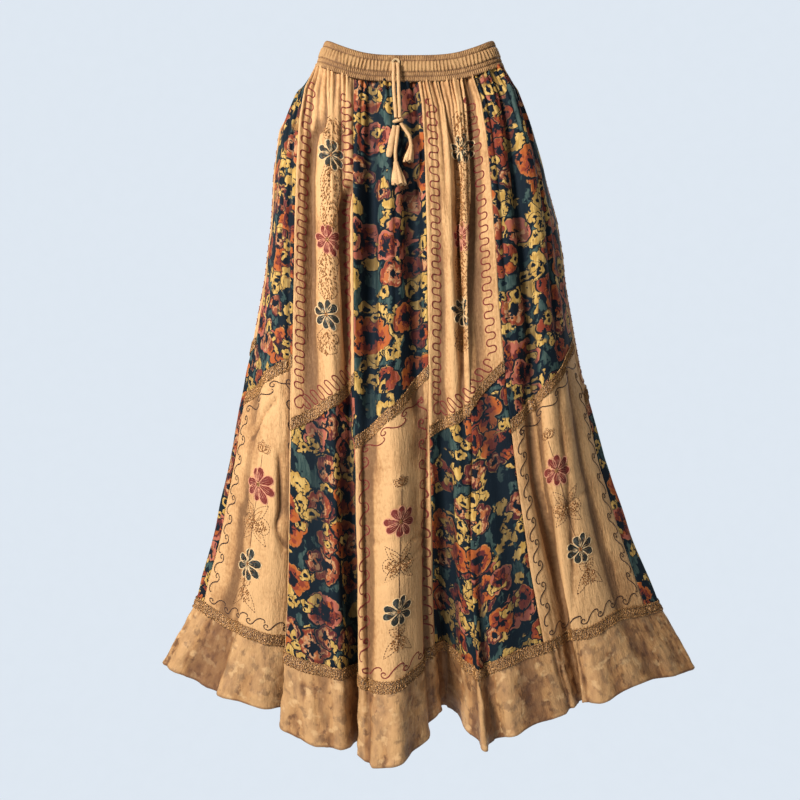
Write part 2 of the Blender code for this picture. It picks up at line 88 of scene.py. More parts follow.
class Finish:  # a material and the nodes that make its look
    def __init__(self, name):
        self.material = bpy.data.materials.new(name)
        self.material.use_nodes = True
        self.tree = self.material.node_tree
        self.shader = self.tree.nodes["Principled BSDF"]

    def feed(self, socket, value):
        if isinstance(value, Wire):
            self.tree.links.new(value.socket, socket)
        elif isinstance(value, tuple) and socket.type == "RGBA":
            socket.default_value = (*value[:3], 1.0)
        else:
            socket.default_value = value

    def node(self, kind, settings=None, values=None, output=0):
        made = self.tree.nodes.new(kind)
        for key, value in (settings or {}).items():
            if key == "stops":
                while len(made.color_ramp.elements) < len(value):
                    made.color_ramp.elements.new(1.0)
                for element, (at, colour) in zip(made.color_ramp.elements, value):
                    element.position, element.color = at, (*colour, 1.0)
            elif key == "steps":
                made.color_ramp.interpolation = value
            else:
                setattr(made, key, value)
        for key, value in (values or {}).items():
            self.feed(made.inputs[key], value)
        return Wire(self, made.outputs[output])

    def sum(self, operation, *values):
        return self.node("ShaderNodeMath", {"operation": operation}, dict(enumerate(values)))

    def vector(self, operation, *values):
        return self.node("ShaderNodeVectorMath", {"operation": operation}, dict(enumerate(values)))

    def mix(self, share, a, b, blend="MIX"):
        settings = {"data_type": "RGBA", "blend_type": blend}
        return self.node("ShaderNodeMix", settings, {0: share, 6: a, 7: b}, 2)

    def ramp(self, value, stops, steps="LINEAR"):
        return self.node("ShaderNodeValToRGB", {"stops": stops, "steps": steps}, {"Fac": value}, "Color")

    def step(self, value, low, high, outLow=0.0, outHigh=1.0):  # smooth step between two values
        settings = {"interpolation_type": "SMOOTHSTEP"}
        ends = {1: low, 2: high, 3: outLow, 4: outHigh}
        return self.node("ShaderNodeMapRange", settings, {0: value, **ends})

    def paint(self, colour, over, value, low, high, most=None):  # over shows as value goes from low to high
        mask = self.step(value, low, high)
        return self.mix(mask if most is None else mask * most, colour, over)

    def noise(self, place, size, detail=2.0, rough=0.5):  # size is the width of one blotch
        values = {"Vector": place, "Scale": 1.0 / size, "Detail": detail, "Roughness": rough}
        return self.node("ShaderNodeTexNoise", None, values, "Fac")

    def attribute(self, name):
        return self.node("ShaderNodeAttribute", {"attribute_name": name}, None, "Vector")

    def split(self, vector):
        x = self.node("ShaderNodeSeparateXYZ", None, {0: vector})
        return x, x.other("Y"), x.other("Z")

    def join(self, x, y, z=0.0):
        return self.node("ShaderNodeCombineXYZ", None, {0: x, 1: y, 2: z})

    def spread(self, place, wide, long, detail=3.0, rough=0.6):  # blotches of a width and a length
        stretched = self.vector("MULTIPLY", place, (1 / wide, 1 / long, 1.0))
        return self.noise(stretched, 1.0, detail, rough)

    def plain(self, **values):  # values of the shader that are the same all over
        for key, value in values.items():
            self.shader.inputs[shaderSockets[key]].default_value = value

    def surface(self, colour, roughness, metallic=None):
        self.feed(self.shader.inputs["Base Color"], colour)
        self.feed(self.shader.inputs["Roughness"], roughness)
        if metallic is not None:
            self.feed(self.shader.inputs["Metallic"], metallic)

    def bump(self, *layers):  # (height, depth in millimetres), coarse ones first
        normal = None
        for height, depth in layers:
            values = {"Height": height, "Distance": depth * mm, "Strength": 1.0}
            if normal is not None:
                values["Normal"] = normal
            normal = self.node("ShaderNodeBump", None, values)
        self.feed(self.shader.inputs["Normal"], normal)


# finishes

tanLook = {
    "light": (0.600, 0.335, 0.140), "middle": (0.450, 0.228, 0.086), "dark": (0.300, 0.138, 0.048),
    "valleyShade": (0.085, 0.036, 0.013),  # painted shade at the bottom of a valley
    "blotch": 60.0,  # millimetres, as every size in the finishes
    "crinkle": (1.6, 9.0),  # width and length of the fine upright crinkle
    "roughness": 0.72,
    "wear": 0.10,  # how much paler a ridge is painted: painted light
}


def makeTan(name, look):
    finish = Finish(name)
    place = finish.attribute("cloth")
    blotch = finish.noise(place, look["blotch"], 3.0)
    fine = finish.spread(place, *look["crinkle"])
    grain = finish.spread(place, 4.0, 5.5)
    wearAndShade, _, _ = finish.split(finish.attribute("wear"))  # painted light and shade: ridges are painted paler than valleys
    shade = blotch * 0.4 + fine * 0.25 + grain * 0.35 + wearAndShade * look["wear"]
    colour = finish.ramp(shade, [(0.35, look["dark"]), (0.46, look["middle"]), (0.59, look["light"])])
    # painted shade: valleys are darkened towards the valley shade colour
    colour = finish.paint(colour, look["valleyShade"], wearAndShade, -0.15, -1.0, 0.62)
    finish.surface(colour, fine * 0.16 + (look["roughness"] - 0.08))
    weave = finish.noise(place, 0.5, 1.0)
    pucker = finish.spread(place, 5.0, 24.0, 3.0, 0.5)
    finish.bump((blotch, 1.6), (pucker, 1.7), (fine, 0.8), (grain, 0.6), (weave, 0.12))
    finish.plain(specular=0.35)
    return finish.material


printLook = {
    "ground": (0.0022, 0.0075, 0.0130), "groundPale": (0.006, 0.015, 0.020),
    "teal": (0.018, 0.040, 0.038), "tealPale": (0.060, 0.090, 0.074),
    "mustard": (0.38, 0.210, 0.045), "mustardPale": (0.56, 0.350, 0.105), "sand": (0.44, 0.220, 0.100),
    "rust": (0.200, 0.034, 0.015), "orange": (0.36, 0.085, 0.016), "maroon": (0.080, 0.014, 0.014),
    "pink": (0.36, 0.100, 0.060), "eye": (0.003, 0.006, 0.011),
    "roughness": 0.80,
    # spacing, reach, petals, how deep their edge waves, shift of the scatter, share left out
    "leaves": (33.0, 18.0, 2, 0.60, 11.0, 0.50),
    "flowers": ((58.0, 27.0, 5, 0.24, 37.0, 0.74), (47.0, 20.0, 4, 0.24, 141.0, 0.56)),
    "smallFlowers": ((22.0, 9.5, 5, 0.24, 83.0, 0.58), (29.0, 8.5, 5, 0.24, 211.0, 0.50)),
    # the large flowers' colours, by their random value
    "rims": ((0.0, "maroon"), (0.28, "rust"), (0.56, "pink"), (0.78, "orange")),
    "faces": ((0.0, "sand"), (0.24, "rust"), (0.42, "sand"), (0.64, "maroon"), (0.84, "rust")),
}


def scatter(finish, place, spacing, shift, even=0.8):
    # One scatter of spots: the place from the nearest spot's middle, and three random values for it
    moved = finish.vector("ADD", place, (shift, shift * 1.7, 0.0))
    values = {"Vector": moved, "Scale": 1.0 / spacing, "Randomness": even}
    spot = finish.node("ShaderNodeTexVoronoi", {"voronoi_dimensions": "2D"}, values, "Position")
    across, down, _ = finish.split(finish.vector("SUBTRACT", moved, spot))
    return across, down, finish.split(spot.other("Color"))


def bloom(finish, place, spacing, radius, petals, wave, shift, share):
    # A scatter of round-petalled flowers: its mask, the mask with a dark surround, the distance from
    # the middle as a share of the petals' reach, the petals' ridges, and a random value
    across, down, (first, second, third) = scatter(finish, place, spacing, shift)
    angle = finish.sum("ARCTAN2", down, across) + first * 6.283  # turned at random
    lobes = finish.sum("ABSOLUTE", finish.sum("COSINE", angle * (petals / 2)))
    reach = (lobes ** 0.6 * wave + (1 - wave)) * (second * 0.45 + 0.70) * radius
    near = (across * across + down * down) ** 0.5 / reach
    chosen = finish.step(third, share, share - 0.02)
    mask, around = finish.step(near, 1.02, 0.97) * chosen, finish.step(near, 1.20, 1.12) * chosen
    return mask, around, near, lobes, second


def makePrint(name, look):
    finish = Finish(name)
    flat = finish.attribute("cloth")

    def wobbled(size, amount):  # hand-drawn edges
        values = {"Vector": flat, "Scale": 1 / size, "Detail": 2.0}
        noise = finish.node("ShaderNodeTexNoise", None, values, "Color")
        noise = finish.vector("SUBTRACT", noise, (0.5, 0.5, 0.5))
        return finish.vector("ADD", flat, finish.vector("MULTIPLY", noise, (amount, amount * 1.3, 0.0)))

    place, rough = wobbled(16.0, 15.0), wobbled(6.0, 11.0)
    wash = finish.spread(flat, 2.6, 17.0)  # upright brush strokes
    cloud = finish.spread(flat, 9.0, 14.0, 2.0, 0.5)
    strokes = finish.spread(rough, 8.0, 13.0, 1.0, 0.5)
    # ground and grey-teal patches
    patch = finish.spread(rough, 24.0, 44.0, 2.0, 0.5)
    teal = finish.paint(look["teal"], look["tealPale"], wash, 0.35, 0.70)
    colour = finish.paint(look["ground"], look["groundPale"], wash, 0.50, 0.75)
    colour = finish.paint(colour, teal, patch, 0.50, 0.52)
    # mustard leaves, ragged and two-lobed
    mask, around, near, _, random = bloom(finish, rough, *look["leaves"])
    leaf = finish.paint(look["mustard"], look["mustardPale"], wash * 0.5 + cloud * 0.5, 0.42, 0.60)
    leaf = finish.mix(finish.step(near, 0.40, 0.32) * finish.step(random, 0.55, 0.60), leaf, look["eye"])
    colour = finish.mix(mask, finish.mix(around, colour, look["ground"]), leaf)
    # large flowers, a rim of one colour, a paler face and a dark eye
    rims, faces = ([(at, look[name]) for at, name in look[part]] for part in ("rims", "faces"))
    for sizes in look["flowers"]:
        mask, around, near, lobes, random = bloom(finish, place, *sizes)
        rim = finish.ramp(random, rims, "CONSTANT")
        rim = finish.paint(rim, look["pink"], wash, 0.50, 0.66, 0.5)
        face = finish.ramp(random, faces, "CONSTANT")
        face = finish.paint(face, look["orange"], strokes, 0.54, 0.57, 0.8)
        face = finish.paint(face, look["rust"], strokes, 0.45, 0.42, 0.8)
        petal = finish.paint(rim, face, near + (cloud - 0.5) * 0.9, 0.78, 0.66)
        petal = finish.paint(petal, look["mustardPale"], near + cloud * 0.3, 1.10, 1.16, 0.5)
        petal = finish.paint(petal, look["eye"], lobes + near * 0.5 + cloud * 0.5, 0.66, 0.60)
        petal = finish.paint(petal, look["eye"], near + (cloud - 0.5) * 1.2, 0.36, 0.30)
        colour = finish.mix(mask, finish.mix(around, colour, look["ground"]), petal)
    # small yellow flowers with a dark eye, in groups
    group = finish.noise(flat, 46.0, 1.0)
    for sizes in look["smallFlowers"]:
        mask, around, near, _, _ = bloom(finish, place, *sizes)
        small = finish.paint(look["mustard"], look["mustardPale"], wash, 0.40, 0.65)
        small = finish.paint(small, look["eye"], near, 0.40, 0.34)
        grouped = finish.step(group, 0.50, 0.53)
        colour = finish.mix(mask * grouped, finish.mix(around * grouped, colour, look["ground"]), small)
    # dark breaks between the strokes
    breaks = finish.spread(rough, 7.0, 12.0, 2.0, 0.5)
    colour = finish.paint(colour, look["ground"], breaks, 0.405, 0.385)
    # painted shade: the print is darkened towards its ground colour in the valleys of the folds
    wearAndShade, _, _ = finish.split(finish.attribute("wear"))
    colour = finish.paint(colour, look["ground"], wearAndShade, -0.10, -1.0, 0.6)
    finish.surface(colour, look["roughness"])
    fine = finish.spread(flat, *tanLook["crinkle"])
    finish.bump((fine, 0.45), (finish.noise(flat, 0.5, 1.0), 0.12))
    finish.plain(specular=0.18)
    return finish.material


frillLook = {
    "light": (0.440, 0.222, 0.080), "middle": (0.290, 0.130, 0.044), "dark": (0.115, 0.044, 0.015),
    "pale": (0.660, 0.400, 0.180),
    "roughness": 0.62,
    "hemLine": (896.0, 898.0),  # where the dark line of the hem begins, down from the waist
}


def makeFrill(name, look):
    finish = Finish(name)
    place = finish.attribute("cloth")
    cloud = finish.noise(place, 40.0, 3.0, 0.55)
    streak = finish.spread(place, 10.0, 30.0, 3.0, 0.55)
    stops = [(0.35, look["dark"]), (0.44, look["middle"]), (0.56, look["light"])]
    colour = finish.ramp(cloud * 0.5 + streak * 0.5, stops)
    spots = finish.spread(place, 13.0, 17.0, 4.0)
    colour = finish.paint(colour, look["dark"], spots, 0.52, 0.64, 0.8)
    pale = finish.noise(finish.vector("ADD", place, (300.0, 90.0, 0.0)), 15.0, 3.0)
    colour = finish.paint(colour, look["pale"], pale, 0.56, 0.68, 0.6)
    _, down, _ = finish.split(place)
    colour = finish.paint(colour, look["dark"], down, *look["hemLine"], 0.6)
    # painted shade in the valleys and painted light on the ridges of the folds
    wearAndShade, _, _ = finish.split(finish.attribute("wear"))
    colour = finish.paint(colour, look["dark"], wearAndShade, -0.10, -1.0, 0.6)
    colour = finish.paint(colour, look["pale"], wearAndShade, 0.30, 1.0, 0.25)
    finish.surface(colour, pale * 0.3 + (look["roughness"] - 0.15))
    rumple = finish.spread(place, 9.0, 15.0, 3.0, 0.5)
    fine = finish.spread(place, *tanLook["crinkle"])
    finish.bump((cloud, 2.0), (rumple, 2.2), (fine, 0.7))
    finish.plain(specular=0.4)
    return finish.material


threadLooks = {
    # colour, a darker copy (painted shade along the twist, and darker stitches at random), roughness,
    # metallic, unevenness from stitch to stitch
    "maroon": ((0.200, 0.028, 0.018), (0.085, 0.011, 0.008), 0.60, 0.0, 0.35),
    "charcoal": ((0.036, 0.038, 0.028), (0.006, 0.007, 0.006), 0.50, 0.0, 0.9),
    "brown": ((0.060, 0.024, 0.012), (0.026, 0.010, 0.006), 0.60, 0.0, 0.3),
    "stem": ((0.120, 0.044, 0.014), (0.055, 0.020, 0.007), 0.60, 0.0, 0.5),
    "gold": ((0.350, 0.142, 0.034), (0.100, 0.033, 0.009), 0.42, 0.10, 1.0),
    "rose": ((0.660, 0.300, 0.170), (0.400, 0.130, 0.070), 0.55, 0.0, 0.3),
    "lurex": ((0.480, 0.225, 0.066), (0.100, 0.038, 0.011), 0.34, 0.20, 1.0),
    "cream": ((0.760, 0.520, 0.270), (0.420, 0.230, 0.090), 0.60, 0.0, 0.4),
}


def makeThread(name, look):
    finish = Finish(name)
    colour, shade, roughness, metallic, uneven = look
    along, side, seed = finish.split(finish.attribute("stitch"))
    # painted shade: the twist's grooves, and some stitches at random, are mixed towards the darker copy
    twist = finish.sum("SINE", along * 5.2 + side * 3.0) * 0.5 + 0.5
    glint = finish.noise(finish.join(along * 0.45, seed * 40.0, side * 0.3), 1.0, 1.0)
    share = twist * 0.35 + finish.step(glint, 0.62, 0.36) * (0.65 * uneven)
    # painted glints: pale flecks on some stitches
    bright = tuple(min(0.95, c * 1.9 + 0.08) for c in colour)
    colour = finish.paint(colour, bright, glint, 0.61, 0.70, uneven)
    finish.surface(finish.mix(share, colour, shade), roughness)
    finish.plain(metallic=metallic, specular=0.25)
    finish.bump((twist, 0.25))
    return finish.material


laceLook = {"pale": (0.66, 0.410, 0.180), "gold": (0.29, 0.130, 0.038), "deep": (0.060, 0.024, 0.008)}


def makeLace(name, look):
    finish = Finish(name)
    place = finish.attribute("cloth")
    values = {"Vector": place, "Scale": 1 / 1.9}
    knots = finish.node("ShaderNodeTexVoronoi", {"voronoi_dimensions": "2D"}, values, "Distance")
    glint = finish.noise(place, 2.4, 2.0)
    # the lace's own gold, with painted light on the knots' tops and painted shade in the gaps between them
    colour = finish.ramp(knots, [(0.06, look["pale"]), (0.30, look["gold"]), (0.60, look["deep"])])
    # painted glints: pale flecks
    colour = finish.paint(colour, look["pale"], glint, 0.56, 0.66, 0.6)
    finish.surface(colour, glint * 0.6 + 0.30, finish.step(glint, 0.50, 0.70, 0.0, 0.20))
    finish.bump((1 - knots, 0.8), (glint, 0.6))
    return finish.material


cordLook = {"pale": (0.66, 0.385, 0.168), "deep": (0.38, 0.190, 0.075), "roughness": 0.75}


def makeCord(name, look):
    finish = Finish(name)
    along, side, _ = finish.split(finish.attribute("stitch"))
    place = finish.join(along, side * 4.0)
    grain = finish.spread(place, 1.4, 0.7, 3.0, 0.5)
    wearAndShade = finish.noise(place, 9.0, 2.0)
    colour = finish.ramp(grain * 0.5 + wearAndShade * 0.5, [(0.32, look["deep"]), (0.58, look["pale"])])
    finish.surface(colour, look["roughness"])
    finish.bump((grain, 0.35))
    return finish.material


tanCloth = makeTan("tan crepe", tanLook)
bandLook = {
    **tanLook, "light": (0.40, 0.218, 0.084), "middle": (0.29, 0.145, 0.052), "dark": (0.18, 0.084, 0.030),
    # wear: how much paler the band's ridges are painted, painted light
    "blotch": 25.0, "crinkle": (1.6, 6.0), "wear": 0.18,
}
bandCloth = makeTan("band crepe", bandLook)
printCloth = makePrint("flowered crepe", printLook)
frillCloth = makeFrill("batik crepe", frillLook)
laceCloth = makeLace("gold lace", laceLook)
cordCloth = makeCord("drawstring cloth", cordLook)
threads = {name: makeThread(f"{name} thread", look) for name, look in threadLooks.items()}
print("finishes made")

# the cloth's surface, as in the part (millimetres)

band = {
    "halfWidth": 125.5, "topHalfWidth": 112.0, "halfDepth": 50.0, "topHalfDepth": 47.0, "corner": 42.0,
    "height": 34.0, "wall": 3.0, "frontDip": 31.0, "backDip": 4.0, "dipPower": 3.5,
    "gathers": 124, "columns": 10, "gatherDepth": 0.95, "fineDepth": 0.62, "puff": 1.7,
    "stitchLines": (0.19, 0.36, 0.78), "rows": 40, "girth": 584.0,  # round its flat cloth
}
profile = (
    # t, then how far the cloth is from waist to hip at the left and right side, and from hip to hem
    (0, 0, 0, 0, 0), (0.035, 0.54, 0.25, 0, 0), (0.085, 0.81, 0.46, 0, 0), (0.15, 0.91, 0.68, 0, 0),
    (0.235, 0.97, 0.93, 0, 0), (0.33, 1, 1, 0.05, 0.036), (0.4825, 1, 1, 0.21, 0.155),
    (0.63, 1, 1, 0.374, 0.333), (0.75, 1, 1, 0.505, 0.512), (0.895, 1, 1, 0.716, 0.762), (1, 1, 1, 1, 1),
)
hipAt, frillAt = 0.256, 0.895
joinLeft, joinRight = 0.53, 0.435  # t of the slanted joins at each gore's two seams
goreTable = (
    # name, cloth above the join, its left seam's place round the waist
    ("gore_01", "print", -196), ("gore_02", "tan", -137), ("gore_03", "print", -72), ("gore_04", "tan", 11),
    ("gore_05", "print", 82), ("gore_06", "tan", 156), ("gore_07", "print", 208), ("gore_08", "tan", 266),
    ("gore_09", "print", 325), ("gore_10", "tan", 383),
)
frontFolds = (
    # gore, hipX, hipY, hemX, hemY, hemZ
    (0, -195, 13, -345, -4, -847), (0, -184, -20, -293, -12, -867), (0, -177, -36, -264, -44, -865),
    (0, -170, -44, -206, -54, -877), (0, -161, -48, -166, -36, -887), (1, -153, -52, -178, -64, -899),
    (1, -130, -46, -132, -86, -911), (1, -104, -64, -87, -88, -916), (1, -87, -50, -60, -46, -925),
    (2, -74, -62, -69, -90, -922), (2, -53, -49, -48, -118, -924), (2, -23, -66, -13, -124, -915),
    (2, 6, -50, 23, -82, -904), (3, 23, -63, 41, -38, -893), (3, 41, -60, 58, -4, -901),
    (3, 56, -62, 80, -50, -913), (3, 66, -48, 102, -92, -917), (3, 74, -64, 117, -62, -918),
    (3, 86, -52, 142, -84, -900), (4, 113, -62, 213, -57, -884), (4, 131, -60, 233, -44, -880),
    (4, 152, -48, 251, -28, -878), (4, 171, -53, 240, -60, -867), (4, 190, -38, 268, -66, -862),
    (4, 201, -16, 325, -44, -847), (5, 214, 16, 389, -10, -851), (5, 216, 30, 424, 14, -852),
)
leftTurn = (9, -198, 28, -363, 12, -845)
backFolds = {
    "gores": (5, 5, 5, 6, 6, 6, 6, 6, 7, 7, 7, 7, 7, 8, 8, 8, 8, 8, 9, 9, 9, 9),
    "depths": (0.4, 0.9, 1.0, 1.2, 0.8, 1.0, 1.3, 0.9, 1.1, 1.2, 0.8),
    "hem": (404, -344), "hip": (198, -190), "y": 50, "fold": 28, "hipFold": 5, "sideZ": -853, "drop": 31,
    "hipTurn": 12, "hemTurn": 8, "turnPower": 0.25,
}


def roundedRing(turn, halfWidth, halfDepth, corner):
    quarter = np.linspace(0, math.pi / 2, 25)
    x, y = [0.0], [-halfDepth]
    for side, start in ((1, -math.pi / 2), (1, 0.0), (-1, math.pi / 2), (-1, math.pi)):
        face = -1 if start in (-math.pi / 2, math.pi) else 1
        x += list(side * (halfWidth - corner) + corner * np.cos(start + quarter))
        y += list(face * (halfDepth - corner) + corner * np.sin(start + quarter))
    x, y = np.array(x + [0.0]), np.array(y + [-halfDepth])
    along = np.concatenate([[0], np.cumsum(np.hypot(np.diff(x), np.diff(y)))])
    at = (np.asarray(turn) % 1.0) * along[-1]
    return np.interp(at, along, x), np.interp(at, along, y)


def waistHeight(x, y):
    nearCentre = 1 - np.minimum(1, np.abs(x) / band["halfWidth"]) ** band["dipPower"]
    return -np.where(y < 0, band["frontDip"], band["backDip"]) * nearCentre


def foldLines():  # waist, hip and hem points of every fold line, and each gore's first one
    rows, last = list(frontFolds), len(backFolds["gores"]) - 1
    for i, gore in enumerate(backFolds["gores"]):
        f = i / last
        inward = i % 2 * backFolds["depths"][i // 2]
        turn = 1 - max(0.0, math.sin(math.pi * f)) ** backFolds["turnPower"]
        hipX, hemX = (a + (b - a) * f for a, b in (backFolds["hip"], backFolds["hem"]))
        hipY = backFolds["y"] - backFolds["hipFold"] * inward - backFolds["hipTurn"] * turn
        hemY = backFolds["y"] - backFolds["fold"] * inward - backFolds["hemTurn"] * turn
        hemZ = backFolds["sideZ"] - backFolds["drop"] * math.sin(math.pi * f)
        rows.append((gore, hipX, hipY, hemX, hemY, hemZ))
    rows.append(leftTurn)
    gores = [row[0] for row in rows]
    seams = [gores.index(k) for k in range(len(goreTable))] + [len(rows)]
    girth = 4 * (band["halfWidth"] - band["corner"]) + 4 * (band["halfDepth"] - band["corner"])
    girth += fullTurn * band["corner"]
    starts = [g[2] for g in goreTable] + [goreTable[0][2] + girth]
    turns = np.interp(np.arange(len(rows)), seams, starts) / girth
    x, y = roundedRing(turns, band["halfWidth"], band["halfDepth"], band["corner"])
    waist = np.stack([x, y, waistHeight(x, y)], axis=1)
    sizes = np.array([row[1:] for row in rows], float)
    hem = sizes[:, 2:5]
    hip = np.concatenate([sizes[:, :2], waist[:, 2:] + (hem[:, 2:] - waist[:, 2:]) * hipAt], axis=1)
    return waist, hip, hem, seams


waistLine, hipLine, hemLine, seams = foldLines()
foldCount = len(waistLine)
hemEnds = hemLine[:, 0].min(), hemLine[:, 0].max()


def between(a, b, c, d, f):  # a smooth curve from b to c
    bend = 2 * a - 5 * b + 4 * c - d
    return 0.5 * (2 * b + (c - a) * f + bend * f**2 + (3 * b - a - 3 * c + d) * f**3)


def through(points, s):  # a smooth closed curve through the fold lines' points
    base = np.floor(s).astype(int)
    near = [points[(base + k) % len(points)] for k in (-1, 0, 1, 2)]
    return between(*near, (s - base)[..., None])


def smoothCloth(s, t):  # s counts fold lines round the skirt, t goes from 0 at the waist to 1 at the hem
    waist, hip, hem = through(waistLine, s), through(hipLine, s), through(hemLine, s)
    drop, *columns = np.array(profile).T
    hipLeft, hipRight, hemLeft, hemRight = (np.interp(t, drop, column) for column in columns)
    side = np.clip((hem[..., 0] - hemEnds[0]) / (hemEnds[1] - hemEnds[0]), 0, 1)[..., None]
    toHip = hipLeft[..., None] + (hipRight - hipLeft)[..., None] * side
    toHem = hemLeft[..., None] + (hemRight - hemLeft)[..., None] * side
    out = waist + (hip - waist) * toHip + (hem - hip) * toHem
    out[..., 2] = waist[..., 2] + (hem[..., 2] - waist[..., 2]) * t
    return out


def fromLine(s, line):  # how far s is from a line, in fold lines, the short way round
    return (s - line + foldCount / 2) % foldCount - foldCount / 2


def unit(v):
    return v / np.maximum(np.linalg.norm(v, axis=-1, keepdims=True), 1e-9)


def stepLengths(path):
    return np.linalg.norm(np.diff(np.asarray(path, float), axis=0), axis=1)


def distances(path):  # of a line's points from its start, along it
    return np.concatenate([[0], np.cumsum(stepLengths(path))])


def pointsAt(path, at):  # the line's points at distances from its start
    along = distances(path)
    return np.stack([np.interp(at, along, column) for column in np.transpose(path)], axis=1)


def evenAngles(count):
    return np.arange(count) * 2 * math.pi / count


def rows3(*values):  # three grids of values as rows of three
    return np.stack(np.broadcast_arrays(*values), axis=-1).reshape(-1, 3)


noiseGrid = 64
lattice = np.random.default_rng(11).random((40, noiseGrid, noiseGrid))


def softNoise(x, y, seed, period=noiseGrid):  # smooth values from -1 to 1, one bump a unit
    grid = lattice[seed % len(lattice)]
    ix, iy = np.floor(x).astype(int), np.floor(y).astype(int)
    fx, fy = x - ix, y - iy
    fx, fy = fx * fx * (3 - 2 * fx), fy * fy * (3 - 2 * fy)
    a, b, c, d = (grid[(iy + j) % noiseGrid, (ix + i) % period % noiseGrid] for j in (0, 1) for i in (0, 1))
    return 2 * ((a * (1 - fx) + b * fx) * (1 - fy) + (c * (1 - fx) + d * fx) * fy) - 1


